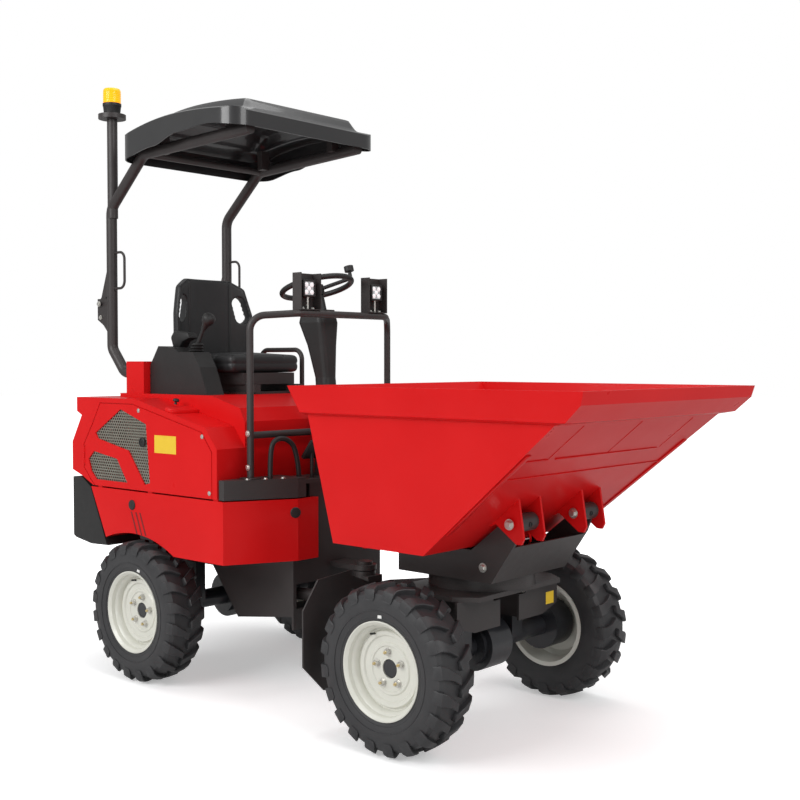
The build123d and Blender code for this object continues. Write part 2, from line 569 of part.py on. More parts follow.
with BuildPart() as canopy:
    for sections, corner, mode in ((CANOPY_OUTSIDE, 70, Mode.ADD), (CANOPY_INSIDE, 66, Mode.SUBTRACT)):
        for z, shrink in sections:
            with BuildSketch(canopy_plane.offset(z)):
                RectangleRounded(CANOPY_LENGTH - 2 * shrink, CANOPY_WIDTH - 2 * shrink, corner)
        loft(ruled=True, mode=mode)
save(canopy, "canopy")

# ---------------------------------------------------------------- front frame
PIVOT_PLAY = 5
CHASSIS_T = 20
CHASSIS_LOW = CHASSIS_TOP - CHASSIS_T
CHASSIS_FRONT = 915
BEAM_HALF = 110
RING_BORE = RING_R - 45
HEEL_X = PIVOT_X + LUG_R + 10    # rear end of the front frame's beams
with BuildPart() as front_chassis:
    slab([(470, -250), (590, -370), (820, -370), (CHASSIS_FRONT, -300), (CHASSIS_FRONT, 300), (820, 370),
          (590, 370), (470, 250)], Plane.XY.offset(CHASSIS_LOW), CHASSIS_T)
    for side in SIDES:
        slab([(HEEL_X, 400), (HEEL_X, 540), (470, CHASSIS_LOW), (850, CHASSIS_LOW), (850, 470), (420, 470), (HEEL_X + 110, 400)],
             Plane.XZ.offset(-side * BEAM_HALF), side * PLATE)
        slab([(side * 70, 463), (side * 250, 463), (side * 372, 500), (side * 372, CHASSIS_LOW),
              (side * 70, CHASSIS_LOW)], Plane.YZ.offset(838), PLATE)
        block((FRONT_AXLE_X - 60, FRONT_AXLE_X + 60), sorted((side * AXLE_PAD[0], side * AXLE_PAD[1])),
              (AXLE_PAD_TOP, CHASSIS_LOW))
    block((HEEL_X, HEEL_X + 20), (-BEAM_HALF, BEAM_HALF), (400, 540))
    rod((PIVOT_X, 0, LUG_LOW + LUG_T + PIVOT_PLAY), (PIVOT_X, 0, LUG_HIGH - PIVOT_PLAY), LUG_R - 5)
    block((PIVOT_X, HEEL_X + 2), (-LUG_R + 10, LUG_R - 10), (LUG_LOW + LUG_T + PIVOT_PLAY + 20, LUG_HIGH - PIVOT_PLAY - 20))
    rod((PIVOT_X, 0, 300), (PIVOT_X, 0, 700), PIVOT_PIN_R + SEAT_GAP, mode=Mode.SUBTRACT)
    rod((SLEW_X, 0, CHASSIS_TOP), (SLEW_X, 0, CHASSIS_TOP + RING_H), RING_R)
    rod((SLEW_X, 0, 580), (SLEW_X, 0, CHASSIS_TOP + RING_H + 1), RING_BORE, mode=Mode.SUBTRACT)
    steer_lugs(STEER_END, -BEAM_HALF)
    for way in SIDES:
        rod((*STEER_END[:2], STEER_Z + way * (LUG_IN + 2)), (*STEER_END[:2], STEER_Z + way * (LUG_OUT + PIN_HEAD)),
            EYE_PIN_R)
save(front_chassis, "front_chassis")

GUARD_PLATE_X = 258
with BuildPart() as mudguards:
    for side in SIDES:
        slab([(side * 400, 684), (side * 609, 668), (side * 700, 545), (side * 700, 300), (side * 574, 175),
              (side * 490, 175), (side * 400, 330)], Plane.YZ.offset(GUARD_PLATE_X), 8)
        slab([(side * 150, 500), (side * 400, 600), (side * 400, 660), (side * 150, 560)],
             Plane.YZ.offset(GUARD_PLATE_X), 8)
        block((GUARD_PLATE_X, GUARD_PLATE_X + 40), sorted((side * BEAM_HALF, side * 160)), (480, 560))
save(mudguards, "mudguards")

# ---------------------------------------------------------------- cylinders
NECK_R, NECK_END = 18, 42                # between the base eye and the barrel
ROD_R = 15
BORE_GAP = 1


def barrel_solid(base, end, across, length, radius):
    """A cylinder's barrel with its base eye; across is the pin's direction."""
    base, across = Vector(base), Vector(across)
    way = (Vector(end) - base).normalized()
    rod(base - across * EYE_W / 2, base + across * EYE_W / 2, EYE_R)
    rod(base + way * (EYE_R - 9), base + way * NECK_END, NECK_R)
    rod(base + way * NECK_END, base + way * length, radius)
    rod(base - across * EYE_W, base + across * EYE_W, EYE_PIN_R + SEAT_GAP, mode=Mode.SUBTRACT)
    rod(base + way * (NECK_END + 10), base + way * (length + 1), ROD_R + BORE_GAP, mode=Mode.SUBTRACT)


def rod_solid(base, end, across, start):
    """The piston rod with its eye and the pin in it, from a distance along the cylinder to the far pin."""
    base, end, across = Vector(base), Vector(end), Vector(across)
    way = (end - base).normalized()
    rod(end - across * EYE_W / 2, end + across * EYE_W / 2, EYE_R)
    rod(base + way * start, end - way * (EYE_R - 9), ROD_R)
    rod(end - across * (LUG_IN - 1), end + across * (LUG_IN - 1), EYE_PIN_R)


# steering cylinder, from the rear frame to the front chassis
with BuildPart() as steer_barrel:
    barrel_solid(STEER_BASE, STEER_END, (0, 0, 1), 288, 30)
save(steer_barrel, "steer_barrel")
with BuildPart() as steer_rod:
    rod_solid(STEER_BASE, STEER_END, (0, 0, 1), 180)
save(steer_rod, "steer_rod")

# ---------------------------------------------------------------- swivel frame under the skip
SWIVEL_LOW = CHASSIS_TOP + 2 * RING_H + SEAT_GAP
SWIVEL_HALF = 278
SWIVEL_T = 14
FLOOR_LOW = 835                  # underside of the skip's floor
BOSS_R, BOSS_Y = 38, (172, 290)
FRAME_SIDE = (                   # x, z of the swivel frame's side plate
    (440, SWIVEL_LOW), (955, SWIVEL_LOW), (1076, 866), (1100, 925), (1060, 985), (985, 930), (850, 822), (440, 822),
)
TIP_BASE = (560, 640)            # x, z of the tipping cylinder's pins
TIP_END = (912, 840)
TIP_LUG = (                      # x, z of the plates that hold its base
    (516, 625), (545, 613), (575, 613), (590, 628), (590, 652), (575, 668), (530, 712), (460, 722),
    (460, SWIVEL_LOW + PLATE), (516, SWIVEL_LOW + PLATE),
)
with BuildPart() as skip_frame:
    for side in SIDES:
        slab(FRAME_SIDE, Plane.XZ.offset(-side * SWIVEL_HALF), side * SWIVEL_T)
        rod((TIP_X, side * BOSS_Y[0], TIP_Z), (TIP_X, side * BOSS_Y[1], TIP_Z), BOSS_R)
        rod((TIP_X, side * BOSS_Y[0], TIP_Z), (TIP_X, side * BOSS_Y[1], TIP_Z), PIN_R + 1, mode=Mode.SUBTRACT)
        block((470, 560), sorted((side * (SWIVEL_HALF - SWIVEL_T), side * SWIVEL_HALF)), (822, FLOOR_LOW - SEAT_GAP))
    block((440, 955), (-SWIVEL_HALF, SWIVEL_HALF), (SWIVEL_LOW, SWIVEL_LOW + PLATE))
    slab([(955, SWIVEL_LOW), (1067, 853), (1053, 853), (941, SWIVEL_LOW)], Plane.XZ, SWIVEL_HALF, both=True)
    block((440, 440 + PLATE), (-SWIVEL_HALF, SWIVEL_HALF), (SWIVEL_LOW, 822))
    rod((SLEW_X, 0, SWIVEL_LOW - RING_H), (SLEW_X, 0, SWIVEL_LOW), RING_R)
    rod((SLEW_X, 0, SWIVEL_LOW - RING_H), (SLEW_X, 0, SWIVEL_LOW + PLATE), RING_BORE, mode=Mode.SUBTRACT)
    for side in SIDES:
        slab(TIP_LUG, Plane.XZ.offset(-side * LUG_IN), -side * (LUG_OUT - LUG_IN))
    rod((TIP_BASE[0], -LUG_OUT - PIN_HEAD, TIP_BASE[1]), (TIP_BASE[0], LUG_OUT + PIN_HEAD, TIP_BASE[1]), EYE_PIN_R)
save(skip_frame, "skip_frame")

tip_pins = (TIP_BASE[0], 0, TIP_BASE[1]), (TIP_END[0], 0, TIP_END[1])
with BuildPart() as tip_barrel:
    barrel_solid(*tip_pins, (0, 1, 0), 305, 36)
save(tip_barrel, "tip_barrel")
with BuildPart() as tip_rod:
    rod_solid(*tip_pins, (0, 1, 0), 62)
save(tip_rod, "tip_rod")

# ---------------------------------------------------------------- skip
SHEET = 8
SKIP_SECTIONS = (                # z, rear x, front x, half width
    (FLOOR_LOW, 338, 849, 590),
    (1388, 240, 1516, 645),
    (1400, 222, 1580, 675),
    (1465, 185, 1651, 684),
    (1515, 158, 1665, 690),
)
with BuildPart() as skip:
    for z, rear, front, half in SKIP_SECTIONS:
        with BuildSketch(Plane.XY.offset(z)):
            with Locations(((rear + front) / 2, 0)):
                Rectangle(front - rear, 2 * half)
    loft(ruled=True)
    for z, rear, front, half in SKIP_SECTIONS:
        rise = SHEET if z == FLOOR_LOW else (0.1 if z == SKIP_SECTIONS[-1][0] else SHEET * 0.8)
        with BuildSketch(Plane.XY.offset(z + rise)):
            with Locations(((rear + front) / 2 - 2, 0)):
                Rectangle(front - rear - 22, 2 * (half - SHEET))
    loft(ruled=True, mode=Mode.SUBTRACT)
save(skip, "skip")

EAR_T = 12
EAR_Y = (-313, -165, 153, 301)   # low side of each ear
FRONT_RUN, FRONT_RISE = SKIP_SECTIONS[1][2] - SKIP_SECTIONS[0][2], SKIP_SECTIONS[1][0] - SKIP_SECTIONS[0][0]
SLOPE = atan2(FRONT_RISE, FRONT_RUN)     # of the skip's long front plate


def on_front(x):
    """Height of the front plate's outer face at a given x."""
    return FLOOR_LOW + (x - SKIP_SECTIONS[0][2]) * FRONT_RISE / FRONT_RUN


EAR_OUTLINE = (
    (970, on_front(970)), (1006, 950), (1108, 876), (1134, 876), (1146, 900), (1120, on_front(1120)),
)
with BuildPart() as skip_ears:
    for low in EAR_Y:
        slab(EAR_OUTLINE, Plane.XZ.offset(-low), -EAR_T)
    for side in SIDES:
        rod((TIP_X, side * 145, TIP_Z), (TIP_X, side * 328, TIP_Z), PIN_R)
    eye_plane = Plane(origin=(TIP_END[0], 0, TIP_END[1]), x_dir=(cos(SLOPE), 0, sin(SLOPE)), z_dir=(0, -1, 0))
    reach = (on_front(TIP_END[0]) - TIP_END[1]) * cos(SLOPE)
    for side in SIDES:
        with BuildSketch(eye_plane.offset(-side * LUG_IN)) as bracket:
            with BuildLine():
                Polyline((-45, reach), (-24, -14), (-14, -24), (14, -24), (24, -14), (45, reach), close=True)
            make_face()
        extrude(bracket.sketch, amount=-side * (LUG_OUT - LUG_IN))
        rod((TIP_END[0], side * (LUG_IN + 2), TIP_END[1]), (TIP_END[0], side * (LUG_OUT + PIN_HEAD), TIP_END[1]),
            EYE_PIN_R)
save(skip_ears, "skip_ears")
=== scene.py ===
import math

import bmesh
import bpy
from mathutils import Matrix, Vector


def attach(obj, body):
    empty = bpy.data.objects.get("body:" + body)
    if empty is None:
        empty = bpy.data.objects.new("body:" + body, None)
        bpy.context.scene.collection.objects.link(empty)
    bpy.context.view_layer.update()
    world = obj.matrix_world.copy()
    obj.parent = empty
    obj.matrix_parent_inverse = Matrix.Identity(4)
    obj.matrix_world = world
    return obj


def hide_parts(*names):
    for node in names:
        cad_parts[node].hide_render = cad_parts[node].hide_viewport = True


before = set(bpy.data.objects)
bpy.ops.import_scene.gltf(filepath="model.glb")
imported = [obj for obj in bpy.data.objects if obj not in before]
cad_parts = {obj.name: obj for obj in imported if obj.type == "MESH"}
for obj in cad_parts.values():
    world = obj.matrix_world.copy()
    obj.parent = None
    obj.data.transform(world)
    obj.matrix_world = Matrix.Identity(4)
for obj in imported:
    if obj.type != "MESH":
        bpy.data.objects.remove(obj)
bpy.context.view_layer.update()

# ---- studio ------------------------------------------------------------------------------------
# A seamless floor under large soft lights, and the camera at the machine's front right corner.
# Floor and backdrop are white to the camera alone, so that the paint mirrors a darker room.
bpy.ops.object.select_all(action="DESELECT")
bpy.ops.mesh.primitive_plane_add(size=90, location=(0, 0, 0))
floor = bpy.context.object
floor.name = "studio_floor"
world = bpy.data.worlds.new("studio")
bpy.context.scene.world = world
world.use_nodes = True
around = world.node_tree
sky = around.nodes["Background"]
sky.inputs["Color"].default_value = (1, 1, 1, 1)
sky.inputs["Strength"].default_value = 0.46
backdrop = around.nodes.new("ShaderNodeBackground")
backdrop.inputs["Color"].default_value = (1, 1, 1, 1)
seen = around.nodes.new("ShaderNodeLightPath")
either = around.nodes.new("ShaderNodeMixShader")
around.links.new(seen.outputs["Is Camera Ray"], either.inputs[0])
around.links.new(sky.outputs[0], either.inputs[1])
around.links.new(backdrop.outputs[0], either.inputs[2])
around.links.new(either.outputs[0], around.nodes["World Output"].inputs["Surface"])
for lamp_name, place, aim, width, height, power in (
    ("softbox_left", (-1.5, -6.5, 4.6), (-0.3, 0, 1.1), 5.0, 3.0, 268),
    ("softbox_front", (6.5, -1.0, 4.8), (0.4, 0, 0.9), 3.5, 3.0, 135),
    ("softbox_top", (-0.2, 0.6, 7.0), (0, 0, 0.8), 6.0, 5.0, 190),
    ("softbox_low", (2.4, -5.4, 0.7), (0.2, 0, 0.6), 3.0, 0.9, 26),
):
    light = bpy.data.lights.new(lamp_name, "AREA")
    light.shape = "RECTANGLE"
    light.size, light.size_y, light.energy = width, height, power
    lamp = bpy.data.objects.new(lamp_name, light)
    bpy.context.collection.objects.link(lamp)
    lamp.location = place
    lamp.rotation_euler = (Vector(aim) - Vector(place)).to_track_quat("-Z", "Y").to_euler()
view = bpy.data.cameras.new("camera")
view.lens, view.sensor_width = 52.14, 36
camera = bpy.data.objects.new("camera", view)
bpy.context.collection.objects.link(camera)
camera.location = (3.858, -4.133, 1.620)
camera.rotation_euler = (math.radians(90 - 1.91), 0, math.radians(41.49))
bpy.context.scene.camera = camera
bpy.context.scene.view_settings.view_transform = "Standard"


class Flow:
    """A socket inside a material; sums on it add Math nodes."""

    def __init__(self, tree, socket):
        self.tree, self.socket = tree, socket

    def sum(self, operation, first, second):
        node = self.tree.nodes.new("ShaderNodeMath")
        node.operation = operation
        for place, value in enumerate((first, second)):
            if isinstance(value, Flow):
                self.tree.links.new(value.socket, node.inputs[place])
            else:
                node.inputs[place].default_value = value
        return Flow(self.tree, node.outputs[0])

    def __add__(self, other):
        return self.sum("ADD", self, other)

    def __sub__(self, other):
        return self.sum("SUBTRACT", self, other)

    def __mul__(self, other):
        return self.sum("MULTIPLY", self, other)

    def __rsub__(self, other):
        return self.sum("SUBTRACT", other, self)

    def __gt__(self, other):
        return self.sum("GREATER_THAN", self, other)

    __radd__, __rmul__ = __add__, __mul__


class Finish:
    """A material in the making: one shader, and one way to add any other node.

    A socket is named as it is in Blender, or i and its number where two share a name."""

    def __init__(self, name, **steady):
        self.material = bpy.data.materials.new(name)
        self.material.use_nodes = True
        self.tree = self.material.node_tree
        self.shader = self.tree.nodes["Principled BSDF"]
        for socket, value in steady.items():
            self.shader.inputs[socket.replace("_", " ")].default_value = value
        self.place = self.add("ShaderNodeTexCoord", pick="Object")

    def add(self, kind, settings=(), pick=0, **values):
        node = self.tree.nodes.new(kind)
        for key, value in dict(settings).items():
            setattr(node, key, value)
        for socket, value in values.items():
            numbered = socket[0] == "i" and socket[1:].isdigit()
            slot = node.inputs[int(socket[1:]) if numbered else socket.replace("_", " ")]
            if isinstance(value, Flow):
                self.tree.links.new(value.socket, slot)
            else:
                slot.default_value = value
        return Flow(self.tree, node.outputs[pick])

    def noise(self, scale, detail=3, rough=0.5):
        return self.add("ShaderNodeTexNoise", Vector=self.place, Scale=scale, Detail=detail, Roughness=rough)

    def blend(self, part, low, high):
        return self.add("ShaderNodeMix", {"data_type": "RGBA"}, pick=2, i0=part, i6=low, i7=high)

    def feed(self, **sockets):
        for socket, flow in sockets.items():
            self.tree.links.new(flow.socket, self.shader.inputs[socket.replace("_", " ")])

    def bump(self, height, strength, distance=0.001):
        self.feed(Normal=self.add("ShaderNodeBump", Height=height, Strength=strength, Distance=distance))


def coat(finish, *names):
    """Gives CAD nodes or new pieces one finish."""
    for name in names:
        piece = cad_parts[name] if isinstance(name, str) else name
        piece.data.materials.clear()
        piece.data.materials.append(finish.material)


CLOSE_BY, FAR_AWAY = 1.7, 4.2     # where the floor begins to glow, and where it is as white as the backdrop
floor_paint = Finish("floor_paint", Roughness=0.9, Emission_Strength=1.0)
far_off = floor_paint.add("ShaderNodeVectorMath", {"operation": "LENGTH"}, pick="Value", i0=floor_paint.place)
far_off = floor_paint.add("ShaderNodeMapRange", i0=far_off, i1=CLOSE_BY, i2=FAR_AWAY)
looked_at = floor_paint.add("ShaderNodeLightPath", pick="Is Camera Ray")
white = floor_paint.blend(far_off, (0.36, 0.36, 0.36, 1), (0.95, 0.95, 0.95, 1))
floor_paint.feed(Emission_Color=floor_paint.blend(looked_at, (0.13, 0.13, 0.13, 1), white))
white = floor_paint.blend(floor_paint.noise(0.7), (0.93, 0.93, 0.94, 1), (0.96, 0.96, 0.96, 1))
floor_paint.feed(Base_Color=floor_paint.blend(looked_at, (0.50, 0.50, 0.50, 1), white))
coat(floor_paint, floor)

# ---- red bodywork ------------------------------------------------------------------------------
# Pressed and welded panels in red enamel, with a faint orange peel under a thin clear coat. The
# skip, its ears, the engine cover, its doors, the lower body and the roll bar's housings wear it.
red_enamel = Finish("red_enamel", Coat_Roughness=0.06, IOR=1.5, Specular_IOR_Level=0.10)
cloud = red_enamel.noise(3.2, 4)
red_enamel.feed(
    Base_Color=red_enamel.blend(cloud, (0.62, 0.007, 0.008, 1), (0.72, 0.012, 0.013, 1)),
    Roughness=0.24 + 0.12 * red_enamel.noise(9, 5),
    Coat_Weight=0.03 + 0.05 * cloud,
)
red_enamel.bump(red_enamel.noise(420, 2), 0.05, 0.0004)
coat(red_enamel, "skip", "skip_ears", "engine_cover", "side_door_right", "side_door_left", "lower_body_right",
     "lower_body_left", "rops_housings")

# ---- dark steelwork ----------------------------------------------------------------------------
# Frames, guards, roll bar and step plate wear a dark brown-grey powder coat with a fine grain. The
# axles and the engine are glossier and cooler black, and the cylinders' rods are chromed.
powder_coat = Finish("powder_coat", IOR=1.45)
powder_coat.feed(
    Base_Color=powder_coat.blend(powder_coat.noise(5, 4), (0.030, 0.026, 0.026, 1), (0.052, 0.045, 0.044, 1)),
    Roughness=0.34 + 0.14 * powder_coat.noise(30, 4),
)
powder_coat.bump(powder_coat.noise(700, 3), 0.12, 0.0004)
coat(powder_coat, "rear_frame", "tow_jaw", "pivot_pin", "front_chassis", "mudguards", "skip_frame",
     "floor_plate", "guard_rail", "lamp_brackets", "rops_lower", "rops_upper", "hip_bar", "seat_base",
     "steer_barrel", "tip_barrel")

axle_black = Finish("axle_black", IOR=1.5, Coat_Roughness=0.1)
axle_black.feed(
    Base_Color=axle_black.blend(axle_black.noise(14, 4), (0.010, 0.011, 0.014, 1), (0.022, 0.023, 0.027, 1)),
    Roughness=0.30 + 0.2 * axle_black.noise(40, 4),
    Coat_Weight=0.3 + 0.2 * axle_black.noise(6),
)
axle_black.bump(axle_black.noise(160, 4), 0.25, 0.0008)
coat(axle_black, "front_axle", "rear_axle", "engine_block")

rod_chrome = Finish("rod_chrome", Metallic=1.0)
rod_chrome.feed(
    Base_Color=rod_chrome.blend(rod_chrome.noise(60), (0.72, 0.73, 0.75, 1), (0.82, 0.83, 0.85, 1)),
    Roughness=0.08 + 0.08 * rod_chrome.noise(200),
)
coat(rod_chrome, "tip_rod", "steer_rod")

# ---- moulded black plastic ---------------------------------------------------------------------
# Bumper, console, column, pedals and steering wheel are textured black mouldings. The plain solids
# of canopy, seat, joystick and lamps take the same finish under what replaces them.
black_moulding = Finish("black_moulding", IOR=1.46)
black_moulding.feed(
    Base_Color=black_moulding.blend(black_moulding.noise(7, 4),
                                    (0.011, 0.011, 0.011, 1), (0.022, 0.021, 0.021, 1)),
    Roughness=0.42 + 0.16 * black_moulding.noise(25, 4),
)
black_moulding.bump(black_moulding.noise(520, 3), 0.2, 0.0005)
coat(black_moulding, "rear_bumper", "canopy", "console", "steering_column", "steering_wheel", "joystick",
     "seat_back", "pedals", "work_lamps", "seat_cushion")

# ---- fasteners ---------------------------------------------------------------------------------
# Bolts and nuts are bright zinc with a faint yellow tinge. Each is a turned washer under a six-sided
# or domed head, modelled once at the origin, then copied along the ways its heads face.
zinc = Finish("zinc_plate", Metallic=0.9)
zinc.feed(
    Base_Color=zinc.blend(zinc.noise(90, 3), (0.55, 0.54, 0.50, 1), (0.78, 0.77, 0.74, 1)),
    Roughness=0.25 + 0.2 * zinc.noise(160),
)


def deselect():
    """Leaves object mode with nothing selected."""
    if bpy.context.object and bpy.context.object.mode != "OBJECT":
        bpy.ops.object.mode_set(mode="OBJECT")
    bpy.ops.object.select_all(action="DESELECT")


def take(piece):
    """Makes a piece the only one selected, and the active one."""
    deselect()
    piece.select_set(True)
    bpy.context.view_layer.objects.active = piece


def turned(outline, sides=32, ring=False):
    """Turns an outline of radius and height about the upright axis; a ring's outline ends where it starts."""
    deselect()
    radius, height = outline[0]
    bpy.ops.mesh.primitive_circle_add(vertices=sides, radius=radius, location=(0, 0, height),
                                      fill_type="NOTHING" if ring else "NGON")
    piece = bpy.context.object
    bpy.ops.object.transform_apply(location=True)
    bpy.ops.object.mode_set(mode="EDIT")
    bpy.ops.mesh.select_all(action="SELECT")
    for (radius, height), (wider, higher) in zip(outline, outline[1:]):
        if ring:
            bpy.ops.mesh.extrude_edges_move(TRANSFORM_OT_translate={"value": (0, 0, higher - height)})
        else:
            bpy.ops.mesh.extrude_region_move(TRANSFORM_OT_translate={"value": (0, 0, higher - height)})
        bpy.ops.transform.resize(value=(wider / radius, wider / radius, 1), center_override=(0, 0, higher))
    bpy.ops.mesh.select_all(action="SELECT")
    if ring:
        bpy.ops.mesh.remove_doubles(threshold=1e-5)
    bpy.ops.mesh.normals_make_consistent(inside=False)
    bpy.ops.object.mode_set(mode="OBJECT")
    return piece


def plate(outline, depth, edge=0.0):
    """A flat plate: its outline in the ground plane, extruded up, with its edges eased."""
    deselect()
    bpy.ops.mesh.primitive_circle_add(vertices=len(outline), radius=1, fill_type="NGON")
    piece = bpy.context.object
    for vertex, (x, y) in zip(piece.data.vertices, outline):
        vertex.co = (x, y, 0)
    bpy.ops.object.mode_set(mode="EDIT")
    bpy.ops.mesh.select_all(action="SELECT")
    bpy.ops.mesh.extrude_region_move(TRANSFORM_OT_translate={"value": (0, 0, depth)})
    bpy.ops.mesh.select_all(action="SELECT")
    bpy.ops.mesh.normals_make_consistent(inside=False)
    bpy.ops.object.mode_set(mode="OBJECT")
    if edge:
        ease(piece, edge)
    return piece


def ease(piece, width, steps=2):
    """Rounds a piece's sharp edges."""
    bevel = piece.modifiers.new("edges", "BEVEL")
    bevel.width, bevel.segments = width, steps
    bevel.limit_method, bevel.angle_limit = "ANGLE", math.radians(35)
    bpy.context.view_layer.objects.active = piece
    bpy.ops.object.modifier_apply(modifier=bevel.name)


QUARTER = math.radians(90)
STANDING = Matrix.Rotation(QUARTER, 4, "X")      # takes a plate's outline to x and z, its depth towards -y
OUT_LEFT = Matrix.Rotation(-QUARTER, 4, "X")     # takes a turned piece's axis to +y


def facing(place, direction, turn=0.0):
    """The move that takes a piece from the origin to its place, its top along a direction."""
    quaternion = Vector(direction).to_track_quat("Z", "Y")
    return Matrix.Translation(place) @ quaternion.to_matrix().to_4x4() @ Matrix.Rotation(turn, 4, "Z")


def settle(piece, name, body, finish, angle=32):
    """Names a finished piece, gives it its finish and lets it ride on its body."""
    take(piece)
    piece.name = piece.data.name = name
    bpy.ops.object.transform_apply(location=True, rotation=True, scale=True)
    bpy.ops.object.shade_smooth_by_angle(angle=math.radians(angle))
    coat(finish, piece)
    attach(piece, body)
    return piece


def copies(model, moves):
    """Copies a model once for each move, joins the copies and takes the model away."""
    made = []
    for move in moves:
        twin = bpy.data.objects.new(model.name, model.data.copy())
        twin.data.transform(move)
        if move.determinant() < 0:
            twin.data.flip_normals()
        bpy.context.collection.objects.link(twin)
        made.append(twin)
    bpy.data.objects.remove(model)
    return joined(made)


def joined(pieces):
    """Makes one piece of several."""
    deselect()
    for piece in pieces:
        piece.select_set(True)
    bpy.context.view_layer.objects.active = pieces[0]
    if len(pieces) > 1:
        bpy.ops.object.join()
    return bpy.context.object


def bolt(radius, height, washer=1.45, domed=False):
    """A washer with a six-sided head on it, or a domed one."""
    foot = turned([(radius * washer, 0), (radius * washer, 0.0022)], 20)
    if domed:
        head = turned([(radius, 0.001), (radius, height * 0.5), (radius * 0.7, height * 0.9),
                       (radius * 0.2, height)], 18)
    else:
        head = turned([(radius, 0.001), (radius, height * 0.85), (radius * 0.82, height)], 6)
    return joined([foot, head])


def bolts(name, body, finish, radius, height, spots, **form):
    """A set of like bolts on one body; each spot is a place and the way its head faces."""
    return settle(copies(bolt(radius, height, **form), [facing(place, way) for place, way in spots]),
                  name, body, finish, 25)


# ---- wheels ------------------------------------------------------------------------------------
# Welded steel discs in cream enamel with five zinc nuts, and ribbed dumper tyres. A tyre is a
# turned carcass with twenty slanted lugs a side, each grown station by station from one face.
rim_cream = Finish("rim_cream", Coat_Roughness=0.12, IOR=1.5)
rim_cream.feed(
    Base_Color=rim_cream.blend(rim_cream.noise(6, 4), (0.66, 0.66, 0.59, 1), (0.74, 0.74, 0.67, 1)),
    Roughness=0.28 + 0.14 * rim_cream.noise(18, 4),
    Coat_Weight=0.35 + 0.1 * rim_cream.noise(5),
)
rim_cream.bump(rim_cream.noise(260, 2), 0.06, 0.0004)
tread_rubber = Finish("tread_rubber", IOR=1.5)
tread_rubber.feed(
    Base_Color=tread_rubber.blend(tread_rubber.noise(11, 5),
                                  (0.020, 0.020, 0.022, 1), (0.044, 0.044, 0.046, 1)),
    Roughness=0.36 + 0.22 * tread_rubber.noise(24, 5),
)
tread_rubber.bump(tread_rubber.noise(300, 4), 0.3, 0.0006)
stud_gold = Finish("stud_gold", Metallic=0.9)
stud_gold.feed(
    Base_Color=stud_gold.blend(stud_gold.noise(120), (0.62, 0.48, 0.22, 1), (0.75, 0.62, 0.34, 1)),
    Roughness=0.3 + 0.1 * stud_gold.noise(200),
)
hub_dark = Finish("hub_dark")
hub_dark.feed(
    Base_Color=hub_dark.blend(hub_dark.noise(20), (0.008, 0.008, 0.008, 1), (0.02, 0.02, 0.02, 1)),
    Roughness=0.5 + 0.2 * hub_dark.noise(40),
)
mark_white = Finish("mark_white")
mark_white.feed(
    Base_Color=mark_white.blend(mark_white.noise(40), (0.70, 0.70, 0.68, 1), (0.86, 0.86, 0.84, 1)),
    Roughness=0.5 + 0.1 * mark_white.noise(60),
)
HUB_HEIGHT, HUB_OUT = 0.356, 0.588
FRONT_AXLE, REAR_AXLE = 0.695, -0.999
DISC_FACE, STUD_CIRCLE, STUD_COUNT = 0.0325, 0.070, 5
LUG_COUNT = 20
LUG_STATIONS = (         # out from the middle, forward shift, width, root radius, top radius
    (0.004, -0.030, 0.038, 0.330, 0.3560),
    (0.046, -0.004, 0.038, 0.330, 0.3555),
    (0.080, 0.012, 0.050, 0.326, 0.3505),
    (0.0985, 0.015, 0.056, 0.312, 0.3360),
    (0.1065, 0.015, 0.052, 0.292, 0.3120),
    (0.1050, 0.015, 0.036, 0.286, 0.2920),
)


def tread_lug():
    """One lug on the outer half of the tread, at the top of the wheel."""
    deselect()
    bpy.ops.mesh.primitive_plane_add(size=0.1)
    piece = bpy.context.object
    bpy.ops.object.mode_set(mode="EDIT")
    mesh = piece.data
    for count, (out, shift, width, root, top) in enumerate(LUG_STATIONS):
        if count:
            bpy.ops.mesh.extrude_region_move()
        shape = bmesh.from_edit_mesh(mesh)
        picked = [vertex for vertex in shape.verts if vertex.select]
        middle = sum((vertex.co for vertex in picked), Vector()) / len(picked)
        for vertex in picked:
            side = 1 if vertex.co.x > middle.x else -1
            high = vertex.co.z > middle.z if count else vertex.co.y > middle.y
            vertex.co = (shift + side * width / 2, out, top if high else root)
        bmesh.update_edit_mesh(mesh)
    bpy.ops.mesh.select_all(action="SELECT")
    bpy.ops.mesh.normals_make_consistent(inside=False)
    bpy.ops.object.mode_set(mode="OBJECT")
    ease(piece, 0.0028, 1)
    return piece


def tyre_body():
    """The tyre: carcass, side rings and lugs, about the Y axis with its outer side towards +Y."""
    half = [(0.1962, 0.086), (0.2110, 0.0925), (0.2280, 0.0985), (0.2620, 0.1055), (0.2900, 0.1040),
            (0.3170, 0.0960), (0.3310, 0.0800), (0.3350, 0.0400)]
    mirrored = [(radius, -out) for radius, out in reversed(half)]
    carcass = turned([mirrored[-1], *half, (0.3360, 0.0), *mirrored], 80, ring=True)
    rings = [turned([(r, z), (r, z + 0.0022), (r + 0.004, z + 0.0022), (r + 0.004, z), (r, z)], 80, ring=True)
             for r, z in ((0.2210, 0.0955), (0.2480, 0.1030))]
    for piece in (carcass, *rings):
        piece.data.transform(OUT_LEFT)
    pitch = 2 * math.pi / LUG_COUNT
    inward = Matrix.Scale(-1, 4, (0, 1, 0))
    moves = [Matrix.Rotation(count * pitch, 4, "Y") for count in range(LUG_COUNT)]
    moves += [Matrix.Rotation((count + 0.5) * pitch, 4, "Y") @ inward for count in range(LUG_COUNT)]
    return joined([carcass, *rings, copies(tread_lug(), moves)])


